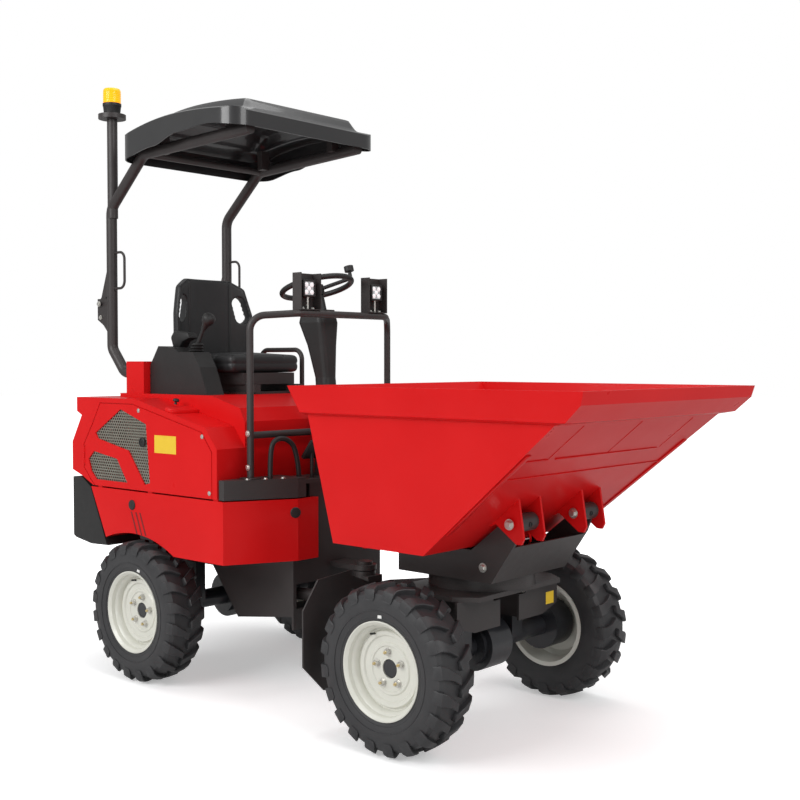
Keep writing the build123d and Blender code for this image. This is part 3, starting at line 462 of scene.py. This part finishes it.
def wheel_disc():
    """The rim and its disc in one turned ring: lips, seats, dished wall, stepped face and hub hole."""
    piece = turned([
        (0.2065, 0.0950), (0.2065, 0.0885), (0.1960, 0.0860), (0.1955, 0.0620), (0.1800, 0.0300),
        (0.1800, -0.0500), (0.1955, -0.0700), (0.1955, -0.0860), (0.2065, -0.0885), (0.2065, -0.0950),
        (0.1870, -0.0930), (0.1740, -0.0500), (0.1720, 0.0060), (0.1500, 0.0230), (0.1080, 0.0225),
        (0.0395, 0.0225), (0.0395, DISC_FACE), (0.0920, DISC_FACE), (0.0960, 0.0365), (0.1060, 0.0365),
        (0.1120, 0.0310), (0.1340, 0.0325), (0.1400, 0.0400), (0.1560, 0.0420), (0.1640, 0.0300),
        (0.1700, 0.0310), (0.1735, 0.0540), (0.1800, 0.0620), (0.1850, 0.0660), (0.1885, 0.0840),
        (0.1960, 0.0915), (0.2020, 0.0960), (0.2065, 0.0950),
    ], 72, ring=True)
    piece.data.transform(OUT_LEFT)
    return piece


tyre_model, disc_model = tyre_body(), wheel_disc()
nut_moves, stud_moves = [], []
for count in range(STUD_COUNT):
    angle = math.radians(360 / STUD_COUNT * count + 18)
    spot = (STUD_CIRCLE * math.cos(angle), DISC_FACE, STUD_CIRCLE * math.sin(angle))
    nut_moves.append(facing(spot, (0, 1, 0), angle))
    stud_moves.append(facing((spot[0], 0.045, spot[2]), (0, 1, 0)))
nut_model = copies(bolt(0.0135, 0.019, washer=1.3), nut_moves)
stud_model = copies(turned([(0.0062, 0), (0.0062, 0.013), (0.005, 0.0145)], 14), stud_moves)
for wheel_name, axle_x, side in (("front_right", FRONT_AXLE, -1), ("front_left", FRONT_AXLE, 1),
                                 ("rear_right", REAR_AXLE, -1), ("rear_left", REAR_AXLE, 1)):
    body = f"wheel_{wheel_name}"
    outward_turn = Matrix.Rotation(0 if side > 0 else math.pi, 4, "Z")
    rolled = Matrix.Rotation(0.16 * axle_x, 4, "Y")
    set_there = Matrix.Translation((axle_x, side * HUB_OUT, HUB_HEIGHT)) @ outward_turn @ rolled
    for model, part, finish in ((tyre_model, "tyre", tread_rubber), (disc_model, "rim", rim_cream),
                                (nut_model, "nuts", zinc), (stud_model, "studs", stud_gold)):
        twin = bpy.data.objects.new("twin", model.data.copy())
        bpy.context.collection.objects.link(twin)
        twin.data.transform(set_there)
        settle(twin, f"{part}_{wheel_name}_dressed", body, finish)
        if part in ("tyre", "rim"):
            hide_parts(f"{part}_{wheel_name}")
    well = turned([(0.0390, 0.0), (0.0390, 0.0020), (0.0250, 0.0030)], 28)
    well.data.transform(set_there @ facing((0, 0.0226, 0), (0, 1, 0)))
    settle(well, f"hub_{wheel_name}", body, hub_dark)
    valve = turned([(0.0045, 0), (0.0045, 0.022), (0.0038, 0.026)], 12)
    valve.data.transform(set_there @ facing((0.055, 0.045, 0.145), (0.1, 1, 0.1)))
    settle(valve, f"valve_{wheel_name}", body, hub_dark)
    mark = plate([(-0.011, -0.0085), (0.011, -0.0085), (0.010, 0.0085), (-0.010, 0.0085)], 0.001)
    mark.data.transform(set_there @ facing((-0.030, 0.0990, 0.2270), (0, 1, 0.12)))
    settle(mark, f"mark_{wheel_name}", body, mark_white)
for model in (tyre_model, disc_model, nut_model, stud_model):
    bpy.data.objects.remove(model)

# ---- canopy ------------------------------------------------------------------------------------
# A one-piece gloss moulding: arched lengthwise, with a raised middle, rounded corners and a deep
# brim whose lower edge sweeps down to the rear. Made as a grid, its brim extruded, then given a wall.
canopy_gloss = Finish("canopy_gloss", IOR=1.5, Coat_Roughness=0.08)
canopy_gloss.feed(
    Base_Color=canopy_gloss.blend(canopy_gloss.noise(4, 4),
                                  (0.012, 0.012, 0.013, 1), (0.022, 0.022, 0.023, 1)),
    Roughness=0.26 + 0.12 * canopy_gloss.noise(12, 4),
    Coat_Weight=0.5 + 0.2 * canopy_gloss.noise(3),
)
canopy_gloss.bump(canopy_gloss.noise(40, 4), 0.06, 0.0008)
CANOPY_X, CANOPY_Y, CANOPY_CORNER = (-1.345, -0.398), 0.510, 0.11
ARCH_X, ARCH_TOP = -0.85, 2.868
BRIM_EDGE = ((-1.345, 2.676), (-1.311, 2.680), (-1.04, 2.718), (-0.85, 2.762), (-0.62, 2.776),
             (-0.398, 2.754))
BRIM_STEPS = (0.34, 0.5, 1.0)        # share of what is left to the brim's edge, at each extrusion


def swell(value, start, end):
    """From 0 to 1 between two values, eased."""
    share = min(1.0, max(0.0, (value - start) / (end - start)))
    return share * share * (3 - 2 * share)


def level(x, points):
    """Height along a smooth line through a few points of x and z."""
    for (x0, z0), (x1, z1) in zip(points, points[1:]):
        if x <= x1:
            return z0 + (z1 - z0) * swell(x, x0, x1)
    return points[-1][1]


deselect()
bpy.ops.mesh.primitive_grid_add(x_subdivisions=72, y_subdivisions=72, size=2)
canopy_skin = bpy.context.object
half_x, mid_x = (CANOPY_X[1] - CANOPY_X[0]) / 2, (CANOPY_X[1] + CANOPY_X[0]) / 2
for vertex in canopy_skin.data.vertices:
    x, y = vertex.co.x * half_x, vertex.co.y * CANOPY_Y
    over_x, over_y = abs(x) - (half_x - CANOPY_CORNER), abs(y) - (CANOPY_Y - CANOPY_CORNER)
    if over_x > 0 and over_y > 0:
        reach = max(over_x, over_y) / math.hypot(over_x, over_y)
        x = math.copysign(half_x - CANOPY_CORNER + over_x * reach, x)
        y = math.copysign(CANOPY_Y - CANOPY_CORNER + over_y * reach, y)
    x += mid_x
    arch = ARCH_TOP - (0.285 if x < ARCH_X else 0.155) * (x - ARCH_X) ** 2
    crown = swell(x, -1.262, -1.10) * swell(-x, 0.430, 0.485) * swell(-abs(y), -0.405, -0.350)
    edge = min(half_x - abs(x - mid_x), CANOPY_Y - abs(y))
    vertex.co = (x, y, arch + 0.060 * crown - 0.010 * (1 - swell(edge, 0, 0.02)))
bpy.ops.object.mode_set(mode="EDIT")
bpy.ops.mesh.select_mode(type="EDGE")
bpy.ops.mesh.select_all(action="SELECT")
bpy.ops.mesh.region_to_loop()
for share in BRIM_STEPS:
    bpy.ops.mesh.extrude_edges_move(TRANSFORM_OT_translate={"value": (0, 0, -0.02)})
    shape = bmesh.from_edit_mesh(canopy_skin.data)
    for vertex in shape.verts:
        if vertex.select:
            vertex.co.z += (level(vertex.co.x, BRIM_EDGE) - vertex.co.z) * share
    bmesh.update_edit_mesh(canopy_skin.data)
bpy.ops.mesh.select_all(action="SELECT")
bpy.ops.mesh.normals_make_consistent(inside=False)
bpy.ops.object.mode_set(mode="OBJECT")
wall = canopy_skin.modifiers.new("wall", "SOLIDIFY")
wall.thickness, wall.offset = 0.006, -1
bpy.ops.object.modifier_apply(modifier=wall.name)
settle(canopy_skin, "canopy_shell", "folding_rops", canopy_gloss, 40)
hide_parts("canopy")

# ---- grilles -----------------------------------------------------------------------------------
# Beige-grey steel sheet with round holes in staggered rows, 11 mm wide every 16.7 mm. The holes
# are open: the finish is clear inside each circle.
grille_steel = Finish("grille_steel", Metallic=0.6)
grille_steel.feed(
    Base_Color=grille_steel.blend(grille_steel.noise(20, 4), (0.24, 0.225, 0.185, 1), (0.35, 0.33, 0.28, 1)),
    Roughness=0.40 + 0.1 * grille_steel.noise(60, 3),
)
HOLE_PITCH, ROW_PITCH, HOLE_RADIUS = 0.0167, 0.01446, 0.0055
row = grille_steel.add("ShaderNodeSeparateXYZ", pick="Z", Vector=grille_steel.place) * (1 / ROW_PITCH)
row_part = row.sum("FRACT", row, 0)
whole_row = row - row_part
column = grille_steel.add("ShaderNodeSeparateXYZ", pick="X", Vector=grille_steel.place) * (1 / HOLE_PITCH)
column = column + whole_row.sum("MODULO", whole_row, 2) * 0.5        # every second row is set half a hole on
from_side = (column.sum("FRACT", column, 0) - 0.5) * HOLE_PITCH
from_below = (row_part - 0.5) * ROW_PITCH
distance_squared = from_side * from_side + from_below * from_below
grille_steel.feed(Alpha=distance_squared > HOLE_RADIUS ** 2)
coat(grille_steel, "grille_right", "grille_left")

# ---- bonnet and door fittings ------------------------------------------------------------------
# A raised oval hatch with a knob on the bonnet, a round lock and three bolts on each door, and two
# blank yellow labels, on the right door and on the left plate before the front axle.
label_yellow = Finish("label_yellow", Coat_Roughness=0.2)
label_yellow.feed(
    Base_Color=label_yellow.blend(label_yellow.noise(30), (0.80, 0.52, 0.02, 1), (0.86, 0.58, 0.04, 1)),
    Roughness=0.38 + 0.1 * label_yellow.noise(50),
)
BONNET_UP = (0.218, 0, 0.976)
BODY_SIDE = 0.635
HATCH_ACROSS, HATCH_STRETCH = 0.088, 0.071
LABEL_THICK = 0.0006
hatch = turned([(0.5, 0), (0.5, 0.006), (0.47, 0.013), (0.40, 0.016), (0.1, 0.0165)], 40)
for vertex in hatch.data.vertices:
    x, y, lift = vertex.co.x * HATCH_ACROSS, vertex.co.y * HATCH_ACROSS, vertex.co.z
    vertex.co = (x + math.copysign(HATCH_STRETCH, x) if abs(x) > 1e-6 else 0, y, lift)
hatch.data.transform(facing((-0.775, -0.515, 1.3740), BONNET_UP))
settle(hatch, "bonnet_hatch", "rear_body", red_enamel)
knob = turned([(0.009, 0), (0.006, 0.006), (0.006, 0.012), (0.015, 0.014), (0.017, 0.020), (0.013, 0.027),
               (0.004, 0.029)], 20)
knob.data.transform(facing((-0.85, -0.515, 1.405), BONNET_UP))
settle(knob, "hatch_knob", "rear_body", black_moulding)
for side, name in ((-1, "right"), (1, "left")):
    bolts(f"door_bolts_{name}", f"door_{name}", zinc, 0.0075, 0.006,
          [((x, side * BODY_SIDE, z), (0, side, 0))
           for x, z in ((-0.995, 1.372), (-0.492, 1.262), (-0.440, 0.995))], domed=True)
    lock = turned([(0.024, 0), (0.024, 0.004), (0.019, 0.006), (0.018, 0.003), (0.006, 0.003),
                   (0.005, 0.001)], 28)
    lock.data.transform(facing((-0.966, side * BODY_SIDE, 1.213), (0, side, 0)))
    settle(lock, f"door_lock_{name}", f"door_{name}", black_moulding)
for name, body, half_long, half_high, place in (
    ("door_label", "door_right", 0.086, 0.044, Matrix.Translation((-0.779, -0.6351, 1.210)) @ STANDING),
    ("axle_label", "front_body", 0.031, 0.028, facing((0.8501, 0.312, 0.530), (1, 0, 0))),
):
    label = plate([(-half_long, -half_high), (half_long, -half_high), (half_long, half_high),
                   (-half_long, half_high)], LABEL_THICK)
    label.data.transform(place)
    settle(label, name, body, label_yellow)

# ---- lower body fittings -----------------------------------------------------------------------
# Black caps over the fixing holes, three slanted slots on each side drawn as thin dark red sheets of
# painted shade, the bolts of the step plate, and the guard rail's feet and bolts.
# The slots' dark red is painted shade: the red enamel as it looks in the shadow inside each slot.
painted_slot_shade = Finish("painted_slot_shade")
painted_slot_shade.feed(
    Base_Color=painted_slot_shade.blend(painted_slot_shade.noise(30), (0.10, 0.002, 0.002, 1), (0.16, 0.004, 0.004, 1)),
    Roughness=0.5 + 0.1 * painted_slot_shade.noise(50),
)
STEP_TOP = 1.060
GUARD_X = -0.318
cap_spots = [((-1.055, side * BODY_SIDE, 0.890), (0, side, 0)) for side in (-1, 1)]
cap_spots += [((-0.1854, side * 0.318, 0.895), (0.894, side * 0.447, 0)) for side in (-1, 1)]
cap = turned([(0.026, 0), (0.026, 0.003), (0.023, 0.006), (0.008, 0.0075)], 28)
settle(copies(cap, [facing(place, way) for place, way in cap_spots]), "body_caps", "rear_body",
       black_moulding)
for side, name in ((-1, "right"), (1, "left")):
    slots = []
    # Each slot is a thin sheet of painted shade laid on the panel's face, not an opening.
    for top in (-1.062, -1.024, -0.990):
        slot = plate([(top - 0.005, 0.855), (top + 0.005, 0.855), (top + 0.053, 0.743), (top + 0.043, 0.743)],
                     LABEL_THICK)
        inner_face = side * 0.6352 + (LABEL_THICK if side > 0 else 0)
        slot.data.transform(Matrix.Translation((0, inner_face, 0)) @ STANDING)
        slots.append(slot)
    settle(joined(slots), f"body_slot_shade_{name}", "rear_body", painted_slot_shade)
bolts("step_bolts", "rear_body", zinc, 0.009, 0.007,
      [((x, side * y, STEP_TOP), (0, 0, 1))
       for side in (-1, 1) for x, y in ((-0.300, 0.520), (-0.262, 0.440), (-0.226, 0.360))])
feet = plate([(-0.042, -0.032), (0.042, -0.032), (0.042, 0.032), (-0.042, 0.032)], 0.007, 0.0015)
settle(copies(feet, [Matrix.Translation((GUARD_X, y, STEP_TOP)) for y in (-0.485, 0.485)]), "guard_feet",
       "rear_body", powder_coat)
bolts("guard_bolts", "rear_body", zinc, 0.010, 0.008,
      [((GUARD_X, side * 0.501, z), (0, side, 0)) for side in (-1, 1) for z in (1.277, 1.115)])

# ---- step hoops --------------------------------------------------------------------------------
# Two black rubber-covered hoops stand on the step plate beside the pedals. Each is a round bar bent
# through a few points.


def hoop(name, body, finish, points, radius):
    """A round bar bent smoothly along a few points."""
    line = bpy.data.curves.new(name, "CURVE")
    line.dimensions, line.bevel_depth, line.bevel_resolution, line.resolution_u = "3D", radius, 5, 10
    line.use_fill_caps = True
    spline = line.splines.new("NURBS")
    spline.points.add(len(points) - 1)
    for spot, place in zip(spline.points, points):
        spot.co = (*place, 1)
    spline.order_u, spline.use_endpoint_u = 3, True
    piece = bpy.data.objects.new(name, line)
    bpy.context.collection.objects.link(piece)
    take(piece)
    bpy.ops.object.convert(target="MESH")
    return settle(bpy.context.object, name, body, finish, 50)


for side, name in ((-1, "right"), (1, "left")):
    hoop(f"step_hoop_{name}", "rear_body", black_moulding,
         [(x, side * y, z) for x, y, z in (
             (-0.268, 0.405, 1.058), (-0.268, 0.405, 1.170), (-0.268, 0.385, 1.245),
             (-0.266, 0.300, 1.250), (-0.262, 0.235, 1.190), (-0.258, 0.225, 1.058))], 0.0125)

# ---- beacon ------------------------------------------------------------------------------------
# A ribbed amber lens screwed on a black base, at the top of the roll bar's long post. The lens
# stands for the beacon's plain solid, the base fills its foot.
amber = Finish("amber_lens", IOR=1.5, Emission_Strength=0.9)
amber.feed(
    Base_Color=amber.blend(amber.noise(30), (0.95, 0.30, 0.005, 1), (1.0, 0.42, 0.01, 1)),
    Roughness=0.15 + 0.1 * amber.noise(60),
    Emission_Color=amber.blend(amber.noise(16), (1.0, 0.26, 0.0, 1), (1.0, 0.42, 0.01, 1)),
)
BEACON_PLACE = Matrix.Translation((-1.533, -0.406, 0))
lens_outline = [(0.047, 3.022)]
for rib in range(6):
    low = 3.026 + rib * 0.0105
    lens_outline += [(0.0475, low), (0.0445, low + 0.0025), (0.0475, low + 0.005)]
lens_outline += [(0.046, 3.094), (0.041, 3.101), (0.028, 3.1045), (0.005, 3.105)]
lens = turned(lens_outline, 40)
lens.data.transform(BEACON_PLACE)
settle(lens, "beacon_lens", "folding_rops", amber)
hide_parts("beacon")
lens_foot = turned([(0.043, 2.962), (0.048, 3.005), (0.050, 3.008), (0.050, 3.022), (0.020, 3.0225)], 40)
lens_foot.data.transform(BEACON_PLACE)
settle(lens_foot, "beacon_base", "folding_rops", black_moulding)

# ---- work lamps --------------------------------------------------------------------------------
# Square black lamps, each with a bright tray of five cells sunk in its front, on a zinc stem that
# stands between two bolts in the bracket.
lamp_tray = Finish("lamp_tray", Metallic=0.9)
lamp_tray.feed(
    Base_Color=lamp_tray.blend(lamp_tray.noise(70), (0.70, 0.71, 0.73, 1), (0.88, 0.89, 0.90, 1)),
    Roughness=0.16 + 0.1 * lamp_tray.noise(120),
)
lamp_cell = Finish("lamp_cell", Emission_Strength=0.35, IOR=1.5)
lamp_cell.feed(
    Base_Color=lamp_cell.blend(lamp_cell.noise(90), (0.80, 0.82, 0.84, 1), (0.95, 0.95, 0.95, 1)),
    Roughness=0.12 + 0.08 * lamp_cell.noise(140),
    Emission_Color=lamp_cell.blend(lamp_cell.noise(50), (0.9, 0.95, 1.0, 1), (1.0, 1.0, 1.0, 1)),
)
SQUARE = [(-0.041, -0.041), (0.041, -0.041), (0.041, 0.041), (-0.041, 0.041)]
LAMP_Y = 0.238
FORWARD = Matrix.Rotation(QUARTER, 4, "Y")
lamp_spots = [Matrix.Translation((-0.203, side * LAMP_Y, 1.971)) @ FORWARD for side in (-1, 1)]
lamp_box = plate(SQUARE, 0.038, 0.004)
take(lamp_box)
bpy.ops.object.mode_set(mode="EDIT")
bpy.ops.mesh.select_mode(type="FACE")
bpy.ops.mesh.select_all(action="DESELECT")
shape = bmesh.from_edit_mesh(lamp_box.data)
for face in shape.faces:
    face.select = face.normal.z > 0.9 and face.calc_area() > 0.002
bmesh.update_edit_mesh(lamp_box.data)
bpy.ops.mesh.inset(thickness=0.005)
bpy.ops.mesh.extrude_region_move(TRANSFORM_OT_translate={"value": (0, 0, -0.006)})
bpy.ops.object.mode_set(mode="OBJECT")
lamp_piece = settle(copies(lamp_box, lamp_spots), "lamp_boxes", "rear_body", black_moulding)
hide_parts("work_lamps")
tray = plate([(x * 0.85, y * 0.85) for x, y in SQUARE], 0.0012)
settle(copies(tray, [spot @ Matrix.Translation((0, 0, 0.0322)) for spot in lamp_spots]), "lamp_trays",
       "rear_body", lamp_tray)
cells = []
for across, up in ((0, 0), (-0.018, -0.018), (0.018, -0.018), (-0.018, 0.018), (0.018, 0.018)):
    cells += [spot @ Matrix.Translation((across, up, 0.0334)) for spot in lamp_spots]
cell = turned([(0.0115, 0), (0.0110, 0.002), (0.006, 0.0042), (0.002, 0.0046)], 20)
settle(copies(cell, cells), "lamp_cells", "rear_body", lamp_cell)
stems = turned([(0.0065, 0), (0.0065, 0.060), (0.011, 0.061), (0.011, 0.066)], 16)
settle(copies(stems, [Matrix.Translation((-0.182, side * LAMP_Y, 1.868)) for side in (-1, 1)]), "lamp_stems",
       "rear_body", zinc)
bolts("lamp_bolts", "rear_body", zinc, 0.008, 0.008,
      [((-0.1818, side * y, 1.873), (0, 0, 1)) for side in (-1, 1) for y in (LAMP_Y - 0.033, LAMP_Y + 0.033)])

# ---- seat --------------------------------------------------------------------------------------
# A bucket seat in black leathercloth: a padded back with two oval slots and channels beside its
# middle panel, and a thick crowned cushion. Both are rebuilt soft, then shaped vertex by vertex.
leathercloth = Finish("leathercloth", IOR=1.48)
leathercloth.feed(
    Base_Color=leathercloth.blend(leathercloth.noise(9, 4),
                                  (0.014, 0.014, 0.015, 1), (0.026, 0.026, 0.027, 1)),
    Roughness=0.38 + 0.14 * leathercloth.noise(22, 4),
)
grain = leathercloth.add("ShaderNodeTexVoronoi", pick="Distance", Vector=leathercloth.place, Scale=330)
leathercloth.bump(grain, 0.22, 0.0006)
BACK_REAR, CUSHION_MIDDLE, CUSHION_LOW = -1.286, -0.945, 1.5610
BACK_OUTLINE = ((0.200, 1.566), (0.262, 1.690), (0.268, 1.880), (0.230, 2.030), (0.150, 2.074))


def softened(piece, voxel, rounds=6):
    """Rebuilds a piece in small even faces and relaxes it, which rounds its edges like padding."""
    remesh = piece.modifiers.new("voxels", "REMESH")
    remesh.mode, remesh.voxel_size = "VOXEL", voxel
    relax = piece.modifiers.new("relax", "SMOOTH")
    relax.factor, relax.iterations = 0.5, rounds
    take(piece)
    for name in (remesh.name, relax.name):
        bpy.ops.object.modifier_apply(modifier=name)


def groove(value, middle, width):
    """From 1 at a groove's middle to 0 beside it."""
    return math.exp(-((value - middle) / width) ** 2)


back = plate([*BACK_OUTLINE, *[(-y, z) for y, z in reversed(BACK_OUTLINE)]], 0.054)
ease(back, 0.018, 3)
for side in (-1, 1):
    cutter = turned([(0.035, -0.05), (0.035, 0.12)], 36)
    for vertex in cutter.data.vertices:
        vertex.co.y += 0.040 if vertex.co.y > 0 else -0.040
    leaned = Matrix.Rotation(side * math.radians(14), 4, "Z")
    cutter.data.transform(Matrix.Translation((side * 0.203, 1.908, 0)) @ leaned)
    cut = back.modifiers.new("slot", "BOOLEAN")
    cut.object, cut.operation, cut.solver = cutter, "DIFFERENCE", "EXACT"
    take(back)
    bpy.ops.object.modifier_apply(modifier=cut.name)
    bpy.data.objects.remove(cutter)
softened(back, 0.006)
for vertex in back.data.vertices:
    y, z, depth = vertex.co
    front = depth > 0.03
    crown = 0.008 * math.cos(y * 6) if front else 0
    channel = 0.006 * groove(abs(y), 0.140, 0.005) if front else 0
    wing = 0.090 * (abs(y) / 0.268) ** 2.4
    vertex.co = (BACK_REAR + depth + crown - channel + wing, y, z)
settle(back, "seat_back_padded", "rear_body", leathercloth, 60)
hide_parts("seat_back")
cushion = plate([(-0.205, -0.225), (0.205, -0.240), (0.205, 0.240), (-0.205, 0.225)], 0.094)
ease(cushion, 0.026, 3)
softened(cushion, 0.006)
for vertex in cushion.data.vertices:
    x, y, height = vertex.co
    high = min(1, max(0, (height - 0.05) / 0.04))
    crown = 0.014 * max(0, 1 - (x / 0.21) ** 2) * max(0, 1 - (y / 0.24) ** 2) * high
    channel = 0.007 * high * (groove(abs(y), 0.130, 0.005) + groove(x, 0.06, 0.005))
    drawn_in = 1 - 0.015 * groove(height, 0.048, 0.006)
    vertex.co = (CUSHION_MIDDLE + x * drawn_in, y * drawn_in, CUSHION_LOW + height + crown - channel)
settle(cushion, "seat_cushion_padded", "rear_body", leathercloth, 60)
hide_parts("seat_cushion")

# ---- joystick and armrest ----------------------------------------------------------------------
# A seven-ring rubber boot round the lever, which leans forward and ends in a mushroom grip, and a
# moulded armrest behind it.
LEVER_Y, CONSOLE_TOP = -0.355, 1.6004
BOOT_RINGS, RING_STEP = 7, 0.0150
boot_outline = [(0.053, 0.0), (0.053, 0.006)]
for ring in range(BOOT_RINGS):
    reach = 0.050 - ring * 0.0027
    boot_outline += [(reach - 0.009, 0.008 + ring * RING_STEP), (reach, 0.0145 + ring * RING_STEP)]
boot_outline += [(0.022, 0.113), (0.014, 0.116)]
boot = turned(boot_outline, 36)
for vertex in boot.data.vertices:
    lean = 0.32 * max(0.0, vertex.co.z - 0.006)
    vertex.co = (-0.905 + vertex.co.x + lean, LEVER_Y + vertex.co.y, CONSOLE_TOP + vertex.co.z)
lever = turned([(0.011, 0), (0.0095, 0.075), (0.0095, 0.110)], 20)
lever.data.transform(facing((-0.872, LEVER_Y, 1.705), (0.5, 0, 0.866)))
grip = turned([(0.013, 0), (0.016, 0.018), (0.018, 0.030), (0.029, 0.048), (0.034, 0.066), (0.033, 0.080),
               (0.024, 0.090), (0.006, 0.094)], 32)
grip.data.transform(facing((-0.826, LEVER_Y, 1.784), (0.643, 0, 0.766)))
stick = settle(joined([boot, lever, grip]), "lever_dressed", "rear_body", black_moulding, 40)
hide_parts("joystick")
armrest = plate([(-1.112, 1.690), (-1.135, 1.748), (-1.105, 1.783), (-0.990, 1.770), (-0.972, 1.742),
                 (-1.035, 1.722), (-1.060, 1.690)], 0.062, 0.010)
armrest.data.transform(Matrix.Translation((0, -0.268, 0)) @ STANDING)
settle(armrest, "armrest", "rear_body", black_moulding)

# ---- skip fittings -----------------------------------------------------------------------------
# Stiffening strips and weld seams across the long front plate, nuts on the tipping pins, grease
# points on the bosses, and a bolt on each side of the swivel frame.
SKIP_LOW, SKIP_HIGH = Vector((0.849, 0, 0.835)), Vector((1.516, 0, 1.388))      # ends of the front plate
PIN_X, PIN_Z = 1.085, 0.957
ALONG = (SKIP_HIGH - SKIP_LOW).normalized()
OUTWARD = Vector((ALONG.z, 0, -ALONG.x))


def front_strip(start, end, width, thick):
    """A flat strip on the front plate between two places given by x and y."""
    ends = [SKIP_LOW + ALONG * ((x - SKIP_LOW.x) / ALONG.x) + Vector((0, y, 0)) for x, y in (start, end)]
    run = ends[1] - ends[0]
    strip = plate([(0, -width / 2), (run.length, -width / 2), (run.length, width / 2), (0, width / 2)], thick,
                  min(thick, width) * 0.3)
    forward = run.normalized()
    turn = Matrix((forward, OUTWARD.cross(forward), OUTWARD)).transposed().to_4x4()
    strip.data.transform(Matrix.Translation(ends[0]) @ turn)
    return strip


strips = [
    front_strip((1.341, -0.612), (1.341, -0.430), 0.007, 0.004),
    front_strip((1.341, -0.380), (1.341, 0.409), 0.007, 0.004),
    front_strip((1.251, -0.585), (1.251, 0.585), 0.006, 0.004),
    front_strip((1.345, -0.430), (1.505, -0.430), 0.004, 0.0015),
    front_strip((1.345, 0.430), (1.505, 0.430), 0.004, 0.0015),
    front_strip((1.345, 0.0), (1.505, 0.0), 0.004, 0.0015),
    front_strip((0.965, -0.575), (1.375, -0.606), 0.030, 0.006),
    front_strip((0.965, 0.575), (1.375, 0.606), 0.030, 0.006),
]
settle(joined(strips), "skip_front_strips", "tipping_skip", red_enamel)
bolts("tip_nuts", "tipping_skip", zinc, 0.016, 0.015,
      [((PIN_X, way * y, PIN_Z), (0, way, 0)) for way in (-1, 1) for y in (0.328, -0.145)])
grease = turned([(0.011, 0), (0.011, 0.004), (0.007, 0.004), (0.007, 0.0015), (0.003, 0.0012)], 20)
settle(copies(grease, [facing((PIN_X + 0.0365, y, PIN_Z - 0.006), (1, 0, -0.1)) for y in (-0.231, 0.231)]),
       "boss_grease_points", "swivel", hub_dark)
bolts("swivel_bolts", "swivel", zinc, 0.014, 0.011,
      [((0.913, side * 0.278, 0.754), (0, side, 0)) for side in (-1, 1)])

# ---- roll bar bolts ----------------------------------------------------------------------------
# The pivot bolt on which each side of the roll bar folds, and the bolt below it that locks it. Both
# show on the outer faces of the folding brackets.
bolts("fold_bolts", "rear_body", zinc, 0.011, 0.010,
      [((-1.633, side * 0.432, 1.937), (0, side, 0)) for side in (-1, 1)])
bolts("lock_bolts", "rear_body", zinc, 0.009, 0.009,
      [((-1.635, side * 0.4205, 1.862), (0, side, 0)) for side in (-1, 1)])
